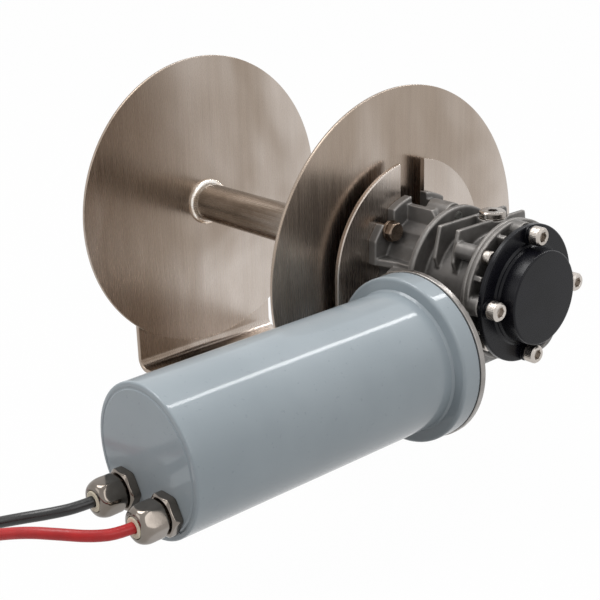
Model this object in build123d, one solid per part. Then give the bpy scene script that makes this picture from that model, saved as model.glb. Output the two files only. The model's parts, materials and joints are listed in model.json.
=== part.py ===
from build123d import *
import math
import os

# An electric drum anchor winch for a small boat: a bent stainless bracket carries
# a rope drum, and a worm gearbox with a permanent-magnet motor hangs on one side.
# Millimetres. X runs along the drum towards the gearbox, the motor points along -Y,
# and Z is up. The origin is the centre of the four deck bolts, on the deck.

# Bracket
base_length = 203.0
base_width = 117.5
plate = 3.0
bend_radius = 9.0
axis_height = 112.0
upright_radius = 58.75
slot_width = 19.3
plate_chamfer = 0.5
deck_bolt_spacing_x = 150.0
deck_bolt_spacing_y = 80.0
deck_bolt_hole = 9.0

# Drum
disc_diameter = 198.0
disc_thickness = 2.0
far_disc_gap = 6.8
near_disc_gap = 5.2
tube_diameter = 25.4
tube_wall = 2.0
weld_bead = 2.8
shaft_weld = 2.2
shaft_diameter = 14.0
key_width = 5.0
key_half_length = 14.0
key_bottom = 4.0
key_top = 9.0

# Far-end bearing of the drum shaft
bearing_plate = 7.5
bearing_boss_radius = 14.0
bearing_boss_length = 4.5
bearing_bolt_spacing = 48.0
bearing_ear_radius = 8.5
bush_outer_radius = 9.4
bush_flange_radius = 13.0
bush_flange = 2.0
running_clearance = 0.05
end_gap = 0.3
end_washer_radius = 11.0
end_washer = 1.6
end_bolt_length = 14.0

# Gearbox: measured from the worm axis along X and from the drum axis along Z
flange_reach = 48.6
centre_distance = 30.0
output_face_radius = 37.3
output_pitch_circle = 65.0
housing_face = 18.0
spigot_length = 10.0
spigot_radius = 25.5
collar_thickness = 3.8
collar_radius = 38.2
rim_start = 19.9
joint_face = 22.6
rim_land = 4.8
edge_break = 0.4
cavity_half = 15.0
cavity_clearance = 1.96
barrel_wall = 2.5
hub_radius = 12.5
output_bearing_radius = 21.0
output_bearing_width = 9.0
output_seal_radius = 17.5

# Cooling fins, plug tower and screw bosses of the casting
fin_thickness = 2.7
fin_faces = (-5.7, 6.9)
fin_top = 34.0
fin_waist = 17.0
fin_foot = 24.0
fin_front_foot = 23.7
fin_root = 8.0
fin_flare = 3.0
fin_front_flare = 4.0
fin_front_taper = 1.4
fin_front = 24.0
fin_back = 31.0
tower_x = 1.0
tower_y = 10.0
tower_radius = 7.6
tower_top = 33.0
plug_spot_radius = 8.2
plug_radius = 4.0
side_screw_offset = 8.4
side_screw_length = 9.5
side_boss_radius = 4.6

# Worm casing and input flange
casing_wall = 9.16
casing_back = 42.0
back_boss_radius = 24.5
back_boss_length = 6.0
casing_reach = 2.8
input_face_radius = 31.0
input_lip = 2.4
flare_length = 13.0
input_ring_radius = 45.5
input_flange_depth = 8.8
input_ring_thickness = 3.3
input_screw_circle = 46.0
input_screw_length = 9.0

# Worm and wheel
wheel_teeth = 30
worm_quotient = 35 / 3
wheel_face = 10.0
wheel_seat_radius = 16.0
flank_clearance = 0.3
tip_clearance = 0.29
pressure_angle = 20.0
worm_thread_length = 24.0
root_run = 2.0

# Worm bearings
front_bearing_bore = 17.0
front_bearing_radius = 15.0
front_bearing_width = 7.0
front_bearing_start = 29.0
back_bearing_bore = 12.0
back_bearing_radius = 14.0
back_bearing_width = 8.0
back_bearing_start = 26.0
coupling_key_top = 7.0
coupling_key_bottom = 3.2

# Mounting flange between the upright and the gearbox
lobe_plate = 5.6
lobe_half_width = 35.3
lobe_radius = 40.5
lobe_bolt_circle = 68.0
lobe_slot = 7.0
notch_y = 20.5
notch_z = 28.0
lobe_gap = 12.0
lobe_wall = 4.0
top_wall_height = 36.0
side_wall_height = 34.8
side_wall_low = 31.4
neck_radius = 28.6
neck_bore = 24.0
foot_boss_radius = 7.0
foot_boss_length = 15.0
foot_boss_floor = 6.0

# Side cover and black output cover
side_ring = 2.2
side_lip = 0.5
side_lip_width = 3.0
side_spigot_radius = 27.5
side_boss_face = 31.0
side_tapping = 6.5
cover_flange = 3.0
cover_step_radius = 27.2
cover_step_height = 1.0
cover_cap_radius = 25.3
cover_cap_face = 45.2
cover_bore = 22.0
cover_wall = 2.7

# Motor: measured along -Y from the drum axis
motor_flange_radius = 44.85
motor_flange_thickness = 12.1
motor_radius_front = 37.5
motor_radius_rear = 36.8
motor_bore = 33.5
motor_length = 172.6
motor_screw_grip = 8.0
rear_edge_radius = 1.2
rim_setback = 0.4
motor_pitch_circle = 75.0
motor_spigot_radius = 30.0
motor_spigot = 2.5
rear_cap = 8.0
core_radius = 23.0
core_setback = 42.2
core_to_commutator = 20.0
core_slots = 12
air_gap = 1.0
magnet_count = 4
commutator_radius = 12.0
commutator_length = 14.0
commutator_to_end = 38.4
coupling_diameter = 11.0
coupling_length = 24.0
motor_shaft_diameter = 12.0
rear_journal_diameter = 10.0
front_motor_bearing_radius = 16.0
front_motor_bearing_width = 10.0
rear_motor_bearing_radius = 15.0
rear_motor_bearing_width = 9.0
rear_seat_wall = 3.0
brush_width = 8.0
brush_height = 10.0
brush_outer = 24.0
brush_arm_end = 29.0
holder_plate = 3.0

# Cable glands and leads
gland_spacing = 31.4
gland_drop = 18.3
gland_thread = 12.0
gland_hex = 18.4
gland_hex_height = 5.0
gland_gap = 1.0
gland_neck_radius = 6.4
dome_hex = 16.4
dome_hex_height = 7.0
dome_length = 12.6
seal_radius = 4.2
seal_depth = 9.0
lead_diameter = 5.2
terminal_plate = 1.6
terminal_eye_radius = 8.0
terminal_hole = 8.4
terminal_barrel = 9.0
sleeve_wall = 0.9

# Screws
m5, m6 = 5.0, 6.0
m6_washer_radius = 6.0
m6_washer = 1.6
cover_washer_radius = 5.2
cover_washer = 1.2
spring_washer_radius = 4.8
spring_washer = 1.4
cover_screw_grip = 6.0
head_ratio = 0.83
hex_well_ratio = 0.83
m6_across_flats = 10.0

# Places worked out from the sizes above
half_base = base_length / 2
gear_x = half_base + flange_reach
near_disc_x = half_base - plate - near_disc_gap
far_disc_x = -half_base + plate + far_disc_gap
shaft_r = shaft_diameter / 2
worm_z = axis_height - centre_distance
lead_r = lead_diameter / 2

# The worm pair and the casting round it follow from the distance between the axes
module = 2 * centre_distance / (wheel_teeth + worm_quotient)
worm_pitch_r = module * worm_quotient / 2
wheel_pitch_r = module * wheel_teeth / 2
worm_tip_r = worm_pitch_r + module
wheel_tip_r = wheel_pitch_r + module
worm_root_r = centre_distance - wheel_tip_r - tip_clearance
wheel_root_r = centre_distance - worm_tip_r - tip_clearance
cavity_radius = wheel_tip_r + cavity_clearance
barrel_radius = cavity_radius + barrel_wall
side_screw_r = cavity_radius + side_screw_offset
rim_radius = side_screw_r + rim_land
casing_radius = worm_tip_r + casing_wall
casing_front = rim_radius + casing_reach
bearing_end = cavity_half + output_bearing_width

# Along the motor, from the drum axis
input_ring_front = casing_front + input_flange_depth
motor_end = input_ring_front + motor_length
core_start = input_ring_front + core_setback
commutator_start = motor_end - commutator_to_end
core_length = commutator_start - core_start - core_to_commutator

facing_x = Rot(0, 90, 0)
facing_minus_x = Rot(0, -90, 0)
facing_y = Rot(-90, 0, 0)
facing_minus_y = Rot(90, 0, 0)
from_bottom = (Align.CENTER, Align.CENTER, Align.MIN)


# Plain building blocks
def rod_x(x0, x1, radius, y=0.0, z=0.0):
    return Pos(x0, y, z) * facing_x * Cylinder(radius, x1 - x0, align=from_bottom)


def rod_y(y0, y1, radius, x=0.0, z=0.0):
    return Pos(x, y0, z) * facing_y * Cylinder(radius, y1 - y0, align=from_bottom)


def rod_z(z0, z1, radius, x=0.0, y=0.0):
    return Pos(x, y, z0) * Cylinder(radius, z1 - z0, align=from_bottom)


def block(x0, x1, y0, y1, z0, z1):
    centre = Pos((x0 + x1) / 2, (y0 + y1) / 2, (z0 + z1) / 2)
    return centre * Box(x1 - x0, y1 - y0, z1 - z0)


def ring_x(x0, x1, outer, inner):
    return rod_x(x0, x1, outer) - rod_x(x0, x1, inner)


def ring_y(y0, y1, outer, inner):
    return rod_y(y0, y1, outer) - rod_y(y0, y1, inner)


def turned_x(points):
    """A turned solid about X from (x, radius) points."""
    face = make_face(Polyline([(x, 0, r) for x, r in points], close=True))
    return revolve(face, Axis.X)


def turned_y(points):
    """A turned solid about Y from (y, radius) points."""
    face = make_face(Polyline([(0, y, r) for y, r in points], close=True))
    return revolve(face, Axis.Y)


def at_gear(shape):
    """From the gearbox's own centre on the drum axis to the winch's frame."""
    return Pos(gear_x, 0, axis_height) * shape


def at_worm(shape):
    """From the worm axis, straight below the gearbox centre, to the winch's frame."""
    return Pos(gear_x, 0, worm_z) * shape


def circle_places(count, radius, start=0.0):
    """Points (y, z) spaced evenly on a circle about the X axis."""
    step = 360 / count
    angles = [math.radians(start + step * i) for i in range(count)]
    return [(radius * math.cos(a), radius * math.sin(a)) for a in angles]


def along_x_on_circle(shape, count, radius, start=0.0):
    """Copies of a shape that lies on the X axis, moved out to a circle about it."""
    return [Pos(0, y, z) * shape for y, z in circle_places(count, radius, start)]


def along_y_on_circle(shape, count, radius, start=0.0):
    """Copies of a shape that lies on the Y axis, moved out to a circle about it."""
    return [Pos(x, 0, z) * shape for x, z in circle_places(count, radius, start)]


# Fasteners, each with its seat at height zero and its shank below
def hex_prism(across_flats, height):
    return extrude(RegularPolygon(across_flats / 2, 6, major_radius=False), height)


def socket_screw(size, length):
    head = Cylinder(size * head_ratio, size, align=from_bottom)
    head = chamfer(head.edges().group_by(Axis.Z)[-1], size * 0.07)
    socket = Pos(0, 0, size * 0.5) * hex_prism(size * hex_well_ratio, size)
    shank = Pos(0, 0, -length) * Cylinder(size / 2, length, align=from_bottom)
    return head - socket + shank


def hex_bolt(size, length, across_flats):
    head_height = size * 0.67
    corner = across_flats / math.sqrt(3)
    head = hex_prism(across_flats, head_height)
    crown = Cone(corner + head_height, corner * 0.85, head_height, align=from_bottom)
    shank = Pos(0, 0, -length) * Cylinder(size / 2, length, align=from_bottom)
    return (head & crown) + shank


def washer(bore, radius, thickness):
    body = Cylinder(radius, thickness, align=from_bottom)
    return body - Cylinder(bore / 2, thickness, align=from_bottom)


# Bracket
def bracket():
    top = axis_height + upright_radius
    outer = Pos(0, 0, top / 2) * Box(base_length, base_width, top)
    inner_size = (base_length - 2 * plate, base_width, top)
    inner = Pos(0, 0, plate + top / 2) * Box(*inner_size)
    low_outer = outer.edges().filter_by(Axis.Y).group_by(Axis.Z)[0]
    low_inner = inner.edges().filter_by(Axis.Y).group_by(Axis.Z)[0]
    channel = fillet(low_outer, bend_radius) - fillet(low_inner, bend_radius - plate)

    side = rod_x(-half_base, half_base, upright_radius, 0, axis_height)
    side += block(-half_base, half_base, -base_width / 2, base_width / 2, 0, axis_height)
    channel &= side
    arcs = channel.edges().filter_by(GeomType.CIRCLE)
    arcs = [e for e in arcs if abs(e.radius - upright_radius) < 0.01]
    channel = chamfer(arcs, plate_chamfer)

    slot = rod_x(-half_base, half_base, slot_width / 2, 0, axis_height)
    half_slot = slot_width / 2
    slot += block(-half_base, half_base, -half_slot, half_slot, axis_height, top)
    channel -= slot

    for x in (-deck_bolt_spacing_x / 2, deck_bolt_spacing_x / 2):
        for y in (-deck_bolt_spacing_y / 2, deck_bolt_spacing_y / 2):
            channel -= rod_z(0, plate, deck_bolt_hole / 2, x, y)
    for y, z in circle_places(4, lobe_bolt_circle / 2, 45):
        channel -= rod_x(half_base - plate, half_base, m6 / 2, y, axis_height + z)
    for y in (-bearing_bolt_spacing / 2, bearing_bolt_spacing / 2):
        channel -= rod_x(-half_base, -half_base + plate, m6 / 2, y, axis_height)
    return channel


# Far-end bearing
def bearing_housing():
    y = bearing_bolt_spacing / 2
    ears = make_hull(
        (
            Circle(bearing_boss_radius + 2).edges()
            + (Pos(0, y) * Circle(bearing_ear_radius)).edges()
            + (Pos(0, -y) * Circle(bearing_ear_radius)).edges()
        )
    )
    body = facing_minus_x * extrude(ears, bearing_plate)
    body = chamfer(body.faces().sort_by(Axis.X)[0].edges(), 1.0)
    body += rod_x(-bearing_plate - bearing_boss_length, -bearing_plate, bearing_boss_radius)
    body -= rod_x(-bearing_plate - bearing_boss_length, 0, bush_outer_radius)
    for side in (-y, y):
        body -= rod_x(-bearing_plate, 0, m6 / 2, side)
    return Pos(-half_base, 0, axis_height) * body


def bearing_bush():
    outer_end = -half_base - bearing_plate - bearing_boss_length
    inner_face = -half_base + plate
    body = rod_x(outer_end, inner_face, bush_outer_radius)
    body += rod_x(inner_face, inner_face + bush_flange, bush_flange_radius)
    bore = shaft_r + running_clearance
    body -= rod_x(outer_end, inner_face + bush_flange, bore)
    return Pos(0, 0, axis_height) * body


def bearing_bolts():
    nut_height = 3.2
    reach = bearing_plate + plate + nut_height
    pieces = []
    for y in (-bearing_bolt_spacing / 2, bearing_bolt_spacing / 2):
        place = Pos(-half_base - bearing_plate, y, axis_height) * facing_minus_x
        pieces.append(place * hex_bolt(m6, reach, m6_across_flats))
        nut = hex_prism(m6_across_flats, nut_height) - Cylinder(m6 / 2, nut_height, align=from_bottom)
        pieces.append(Pos(-half_base + plate, y, axis_height) * facing_x * nut)
    return pieces


# Drum
def drum_disc(x):
    disc = rod_x(x, x + disc_thickness, disc_diameter / 2)
    disc = chamfer(disc.edges(), 0.4)
    disc -= rod_x(x, x + disc_thickness, shaft_r)
    return Pos(0, 0, axis_height) * disc


def drum_tube():
    inner = tube_diameter / 2 - tube_wall
    x0 = far_disc_x + disc_thickness
    return Pos(0, 0, axis_height) * ring_x(x0, near_disc_x - disc_thickness, tube_diameter / 2, inner)


def weld_ring(x, radius, leg, side):
    """A fillet weld round a tube that meets a face at x; side is the way it leans."""
    corner = (x, 0, radius)
    foot = (x, 0, radius + leg)
    toe = (x + side * leg, 0, radius)
    bulge = (x + side * leg * 0.62, 0, radius + leg * 0.62)
    profile = Line(corner, foot) + ThreePointArc(foot, bulge, toe) + Line(toe, corner)
    return Pos(0, 0, axis_height) * revolve(make_face(profile), Axis.X)


def weld_beads():
    tube_r = tube_diameter / 2
    return [
        weld_ring(far_disc_x + disc_thickness, tube_r, weld_bead, 1),
        weld_ring(near_disc_x - disc_thickness, tube_r, weld_bead, -1),
        weld_ring(far_disc_x, shaft_r, shaft_weld, -1),
        weld_ring(near_disc_x, shaft_r, shaft_weld, 1),
    ]


shaft_far_end = -half_base - bearing_plate - bearing_boss_length - end_gap
shaft_near_end = gear_x + side_boss_face


def drum_shaft():
    shaft = rod_x(shaft_far_end, shaft_near_end, shaft_r)
    shaft = chamfer(shaft.edges().group_by(Axis.X)[0], 0.8)
    seat = block(
        gear_x - key_half_length, gear_x + key_half_length,
        -key_width / 2, key_width / 2, key_bottom, shaft_r + 1,
    )
    shaft -= seat
    shaft -= rod_x(shaft_far_end, shaft_far_end + end_bolt_length, m6 / 2)
    shaft -= rod_x(shaft_near_end - end_bolt_length, shaft_near_end, m6 / 2)
    return Pos(0, 0, axis_height) * shaft


def shaft_key():
    return at_gear(
        block(
            -key_half_length, key_half_length,
            -key_width / 2, key_width / 2, key_bottom, key_top,
        )
    )


def shaft_end_washers():
    far = washer(m6, end_washer_radius, end_washer)
    near = washer(m6, end_washer_radius, end_washer)
    return [
        Pos(shaft_far_end, 0, axis_height) * facing_minus_x * far,
        Pos(shaft_near_end, 0, axis_height) * facing_x * near,
    ]


def shaft_end_bolts():
    far = Pos(shaft_far_end - end_washer, 0, axis_height) * facing_minus_x
    near = Pos(shaft_near_end + end_washer, 0, axis_height) * facing_x
    bolt = hex_bolt(m6, end_bolt_length, m6_across_flats)
    return [far * bolt, near * bolt]


# Worm wheel and hollow output hub
thread_pitch = math.pi * module
lead_angle = math.atan(module / (2 * worm_pitch_r))
tooth_thickness = thread_pitch / 2 - flank_clearance
flank_slope = math.tan(math.radians(pressure_angle))


def wheel_outline(x, turn):
    """The toothed outline at one side of the wheel; turn in degrees follows the lead."""
    tooth_angle = 360 / wheel_teeth
    heights = (wheel_root_r, wheel_pitch_r, wheel_tip_r)
    points = []
    for i in range(wheel_teeth):
        middle = -90 + turn + i * tooth_angle
        flank = []
        for r in heights:
            half = tooth_thickness / 2 - (r - wheel_pitch_r) * flank_slope
            flank.append((r, math.degrees(half / r)))
        for r, spread in flank:
            points.append((r, middle - spread))
        for r, spread in reversed(flank):
            points.append((r, middle + spread))
    polar = [(r, math.radians(a)) for r, a in points]
    return make_face(
        Polyline([(x, r * math.cos(a), r * math.sin(a)) for r, a in polar], close=True)
    )


def worm_wheel_rim():
    half = wheel_face / 2
    turn = math.degrees(half * math.tan(lead_angle) / wheel_pitch_r)
    teeth = loft([wheel_outline(-half, -turn), wheel_outline(half, turn)], ruled=True)
    return at_gear(teeth - rod_x(-half, half, wheel_seat_radius))


def output_hub():
    shoulder = cavity_half
    hub = turned_x(
        [
            (-side_boss_face, shaft_r), (-side_boss_face, hub_radius),
            (-shoulder, hub_radius), (-shoulder, hub_radius + 2),
            (-wheel_face / 2 - 3, hub_radius + 2), (-wheel_face / 2 - 3, wheel_seat_radius + 3),
            (-wheel_face / 2, wheel_seat_radius + 3), (-wheel_face / 2, wheel_seat_radius),
            (wheel_face / 2, wheel_seat_radius), (wheel_face / 2, hub_radius + 2),
            (shoulder, hub_radius + 2), (shoulder, hub_radius),
            (side_boss_face, hub_radius), (side_boss_face, shaft_r),
        ]
    )
    hub -= block(
        -key_half_length, key_half_length,
        -key_width / 2, key_width / 2, 0, key_top,
    )
    return at_gear(hub)


# Ball bearings with their shields, as an outer and an inner ring
def bearing_outer(radius, bore, width):
    gap = (radius - bore) * 0.4
    land = bore + gap + 0.4
    shield = 0.8
    return [
        (0, land), (0, radius), (width, radius), (width, land),
        (width - shield, land), (width - shield, radius - gap * 0.8),
        (shield, radius - gap * 0.8), (shield, land),
    ]


def bearing_inner(radius, bore, width):
    gap = (radius - bore) * 0.4
    return [(0, bore), (0, bore + gap), (width, bore + gap), (width, bore)]


def mirrored_x(points):
    return [(-x, r) for x, r in points]


def moved(points, offset):
    return [(a + offset, r) for a, r in points]


def output_bearings(profile):
    ring = moved(profile(output_bearing_radius, hub_radius, output_bearing_width), cavity_half)
    return [at_gear(turned_x(ring)), at_gear(turned_x(mirrored_x(ring)))]


def worm_bearings(profile):
    front = profile(front_bearing_radius, front_bearing_bore / 2, front_bearing_width)
    back = profile(back_bearing_radius, back_bearing_bore / 2, back_bearing_width)
    front = moved(front, -front_bearing_start - front_bearing_width)
    back = moved(back, back_bearing_start)
    return [at_worm(turned_y(front)), at_worm(turned_y(back))]


# Gearbox housing
def fin_outline(x):
    """The outline of one cooling fin, seen along X, from the top down to the worm."""
    return make_face(
        Polyline(
            [
                (x, -fin_front, fin_top), (x, fin_back, fin_top),
                (x, fin_back + fin_flare, fin_top - fin_waist),
                (x, fin_back - fin_flare, fin_top - fin_foot),
                (x, barrel_radius - fin_flare, -fin_root),
                (x, -barrel_radius + fin_flare, -fin_root),
                (x, -fin_front - fin_front_taper, fin_top - fin_front_foot),
                (x, -fin_front - fin_front_flare, fin_top - fin_waist),
            ],
            close=True,
        )
    )


def gearbox_housing():
    far_end = -housing_face - spigot_length
    wheel_case = rod_x(far_end, -housing_face, spigot_radius)
    wheel_case += rod_x(-housing_face, -housing_face + collar_thickness, collar_radius)
    wheel_case = chamfer(wheel_case.edges().group_by(Axis.X)[-1], 0.6)
    wheel_case += rod_x(-housing_face, joint_face, barrel_radius)
    rim = rod_x(rim_start, joint_face, rim_radius)
    wheel_case += chamfer(rim.edges().filter_by(GeomType.CIRCLE), edge_break)
    for face in fin_faces:
        wheel_case += extrude(fin_outline(face - fin_thickness), fin_thickness, dir=(1, 0, 0))
    wheel_case += rod_z(cavity_radius - 6, tower_top, tower_radius, tower_x, tower_y)
    boss = rod_x(fin_faces[1], rim_start, side_boss_radius)
    for piece in along_x_on_circle(boss, 4, side_screw_r, 45):
        wheel_case += piece

    casing = rod_y(-casing_front, casing_back, casing_radius, 0, -centre_distance)
    flare_start = -casing_front + input_lip
    flare = turned_y(
        [
            (flare_start, 0), (flare_start, input_face_radius),
            (flare_start + flare_length, casing_radius), (flare_start + flare_length, 0),
        ]
    )
    casing += Pos(0, 0, -centre_distance) * flare
    casing &= block(
        -housing_face, joint_face, -casing_front, casing_back,
        -centre_distance - input_face_radius, input_face_radius,
    )
    casing += rod_y(-casing_front, flare_start, input_face_radius, 0, -centre_distance)
    boss = rod_y(casing_back - back_boss_length, casing_back, back_boss_radius)
    boss = chamfer(boss.edges().group_by(Axis.Y)[-1], 2.0)
    casing += Pos(0, 0, -centre_distance) * boss
    body = wheel_case + casing

    body -= rod_x(-cavity_half, joint_face, cavity_radius)
    body -= rod_x(-bearing_end, -cavity_half, output_bearing_radius)
    body -= rod_x(far_end, -bearing_end, output_seal_radius)
    worm_bore = rod_y(-front_bearing_start, back_bearing_start, worm_tip_r + 2.5)
    worm_bore += rod_y(-casing_front, -front_bearing_start, front_bearing_radius)
    worm_bore += rod_y(back_bearing_start, casing_back, back_bearing_radius)
    body -= Pos(0, 0, -centre_distance) * worm_bore
    body -= rod_z(tower_top - 9, tower_top, plug_radius, tower_x, tower_y)
    body -= rod_z(tower_top, fin_top, plug_spot_radius, tower_x, tower_y)
    hole = rod_x(-housing_face, -housing_face + collar_thickness, m6 / 2)
    for piece in along_x_on_circle(hole, 4, output_pitch_circle / 2):
        body -= piece
    hole = rod_x(joint_face + side_ring - side_screw_length, joint_face, m5 / 2)
    for piece in along_x_on_circle(hole, 4, side_screw_r, 45):
        body -= piece
    hole = rod_y(-casing_front, -casing_front + 8, m5 / 2)
    for piece in along_y_on_circle(hole, 4, input_screw_circle / 2, 45):
        body -= Pos(0, 0, -centre_distance) * piece
    return at_gear(body)


# Mounting flange: a cast plate with four notched lobes, a neck, and short walls
# that tie the lobes to a round boss over each screw of the gearbox
screw_seat = -housing_face - foot_boss_floor


def flange_wall(heights):
    """One wall's outline from (x, height) points, from the plate towards the gearbox."""
    low = neck_bore + 2
    points = [(heights[0][0], low)] + heights + [(heights[-1][0], low)]
    return make_face(Polyline([(x, 0, r) for x, r in points], close=True))


def mounting_flange():
    back = -flange_reach
    front = back + lobe_plate
    half_gap = lobe_gap / 2
    bolt = lobe_bolt_circle / 2 * math.sqrt(0.5)
    flats = block(back, front, -lobe_half_width, lobe_half_width, -lobe_radius, lobe_radius)
    body = rod_x(back, front, lobe_radius) & flats
    for turn in range(4):
        gap = block(back, front, -half_gap, half_gap, neck_radius, lobe_radius)
        body -= Rot(90 * turn, 0, 0) * gap
    notch = block(back, front, notch_y, lobe_radius, notch_z, lobe_radius)
    notch += block(back, front, notch_y, notch_y + lobe_slot, bolt, notch_z)
    notch += rod_x(back, front, lobe_slot / 2, notch_y + lobe_slot / 2, bolt)
    for piece in (notch, mirror(notch, Plane.XZ)):
        body -= piece
        body -= mirror(piece, Plane.XY)
    body = chamfer(body.faces().sort_by(Axis.X)[-1].edges(), 0.5)

    body += rod_x(back, -housing_face, neck_radius)
    end = -housing_face - 1
    top_wall = flange_wall([(front, top_wall_height), (end - 6, top_wall_height), (end, neck_radius)])
    side_wall = flange_wall(
        [(front, side_wall_height), (end - 11, side_wall_low), (end, side_wall_low)]
    )
    boss = rod_x(
        -housing_face - foot_boss_length, -housing_face, foot_boss_radius, 0, output_pitch_circle / 2,
    )
    for turn in range(4):
        outline = side_wall if turn % 2 else top_wall
        for y in (half_gap, -half_gap - lobe_wall):
            wall = Pos(0, y, 0) * extrude(outline, lobe_wall, dir=(0, 1, 0))
            body += Rot(90 * turn, 0, 0) * wall
        body += Rot(90 * turn, 0, 0) * boss
    for turn in range(4):
        room = rod_x(front, screw_seat, m6_washer_radius + 1, 0, lobe_bolt_circle / 2)
        body -= Rot(45 + 90 * turn, 0, 0) * room
        hole = rod_x(screw_seat, -housing_face, m6 / 2, 0, output_pitch_circle / 2)
        hole += rod_x(back, screw_seat, m6 * head_ratio + 0.5, 0, output_pitch_circle / 2)
        body -= Rot(90 * turn, 0, 0) * hole
    body -= rod_x(back, -housing_face, neck_bore)
    body -= rod_x(-housing_face - spigot_length, -housing_face, spigot_radius)
    return at_gear(body)


def mounting_bolts():
    nut_height = 3.0
    seat = -flange_reach + lobe_plate
    reach = lobe_plate + m6_washer + plate + nut_height
    pieces = []
    for y, z in circle_places(4, lobe_bolt_circle / 2, 45):
        disc = washer(m6, m6_washer_radius, m6_washer)
        nut = hex_prism(m6_across_flats, nut_height) - Cylinder(m6 / 2, nut_height, align=from_bottom)
        pieces.append(at_gear(Pos(seat, y, z) * facing_x * disc))
        pieces.append(at_gear(Pos(seat + m6_washer, y, z) * facing_x * hex_bolt(m6, reach, m6_across_flats)))
        pieces.append(at_gear(Pos(-flange_reach - plate, y, z) * facing_minus_x * nut))
    return pieces


def flange_screws():
    length = foot_boss_floor + collar_thickness
    screw = Pos(screw_seat, 0, 0) * facing_minus_x * socket_screw(m6, length)
    return [at_gear(s) for s in along_x_on_circle(screw, 4, output_pitch_circle / 2)]


# Side cover
def side_cover():
    face = joint_face + side_ring
    cover = rod_x(joint_face, face + side_lip, rim_radius)
    cover = chamfer(cover.edges().filter_by(GeomType.CIRCLE), edge_break)
    cover -= rod_x(face, face + side_lip, rim_radius - side_lip_width)
    cover += rod_x(cavity_half, joint_face, cavity_radius)
    cover += rod_x(joint_face, side_boss_face, side_spigot_radius)
    rib = block(
        joint_face, side_boss_face - 1.5, -1.3, 1.3, side_spigot_radius - 2, output_face_radius - 1,
    )
    boss = rod_x(joint_face, side_boss_face, 5.8, 0, output_pitch_circle / 2)
    for turn in range(4):
        cover += Rot(90 * turn, 0, 0) * boss
        for lean in (24, -24):
            cover += Rot(90 * turn + lean, 0, 0) * rib
    tapped_end = side_boss_face - side_tapping
    for turn in range(4):
        room = rod_x(face, side_boss_face, m5 * head_ratio + 0.7, 0, side_screw_r)
        hole = rod_x(joint_face, face, m5 / 2, 0, side_screw_r)
        cover -= Rot(90 * turn + 45, 0, 0) * (room + hole)
        tapped = rod_x(tapped_end, side_boss_face, m6 / 2, 0, output_pitch_circle / 2)
        cover -= Rot(90 * turn, 0, 0) * tapped
    cover -= rod_x(cavity_half, bearing_end, output_bearing_radius)
    cover -= rod_x(bearing_end, side_boss_face, output_seal_radius)
    return at_gear(cover)


def side_cover_screws():
    seat = joint_face + side_ring
    screw = Pos(seat, 0, 0) * facing_x * socket_screw(m5, side_screw_length)
    return [at_gear(s) for s in along_x_on_circle(screw, 4, side_screw_r, 45)]


# Black output cover
def output_cover():
    face = side_boss_face + cover_flange
    step_face = face + cover_step_height
    cover = rod_x(side_boss_face, face, output_face_radius)
    cover = fillet(cover.edges().group_by(Axis.X)[-1], 0.8)
    cap = turned_x(
        [
            (face, 0), (face, cover_step_radius), (step_face, cover_step_radius - 0.4),
            (step_face, cover_cap_radius + 1.0), (step_face + 1.0, cover_cap_radius + 0.4),
            (cover_cap_face, cover_cap_radius), (cover_cap_face, 0),
        ]
    )
    cap = fillet(cap.edges().group_by(Axis.X)[-1], 1.2)
    cover += cap
    cover -= rod_x(side_boss_face, cover_cap_face - cover_wall, cover_bore)
    hole = rod_x(side_boss_face, face, m6 / 2)
    for piece in along_x_on_circle(hole, 4, output_pitch_circle / 2):
        cover -= piece
    return at_gear(cover)


def output_cover_screws():
    seat = side_boss_face + cover_flange
    pieces = []
    stack = cover_washer + spring_washer
    length = stack + cover_flange + cover_screw_grip
    flat = Pos(seat, 0, 0) * facing_x * washer(m6, cover_washer_radius, cover_washer)
    spring = washer(m6, spring_washer_radius, spring_washer)
    spring = Pos(seat + cover_washer, 0, 0) * facing_x * spring
    screw = Pos(seat + stack, 0, 0) * facing_x * socket_screw(m6, length)
    for shape in (flat, spring, screw):
        pieces += [at_gear(s) for s in along_x_on_circle(shape, 4, output_pitch_circle / 2)]
    return pieces


# Oil plug
def oil_plug():
    seal = washer(2 * plug_radius, 7.2, 0.8)
    head = Pos(0, 0, 0.8) * hex_prism(13.2, 3.2)
    crown = Pos(0, 0, 0.8) * Cone(10.2, 6.9, 3.2, align=from_bottom)
    plug = (head & crown) + Pos(0, 0, -7) * Cylinder(plug_radius, 7.8, align=from_bottom)
    plug -= Pos(0, 0, 1.4) * hex_prism(5.0, 3.0)
    place = Pos(tower_x, tower_y, tower_top)
    return [at_gear(place * seal), at_gear(place * plug)]


# Oil seals: two round the output hub, one round the worm shaft
def oil_seals():
    bore = hub_radius + running_clearance
    near = ring_x(bearing_end, side_boss_face - 2, output_seal_radius, bore)
    far = ring_x(-housing_face - spigot_length, -bearing_end, output_seal_radius, bore)
    worm_bore = front_bearing_bore / 2 + running_clearance
    start = -front_bearing_start - front_bearing_width
    worm = ring_y(-casing_front, start, front_bearing_radius, worm_bore)
    return [at_gear(near), at_gear(far), at_worm(worm)]


def worm_end_cap():
    start = back_bearing_start + back_bearing_width + 1
    cap = turned_y(
        [
            (start, back_bearing_radius), (start, back_bearing_radius - 2),
            (casing_back - 3, back_bearing_radius - 2), (casing_back - 3, 0),
            (casing_back - 0.5, 0), (casing_back - 0.5, back_bearing_radius),
        ]
    )
    return at_worm(cap)


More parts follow.
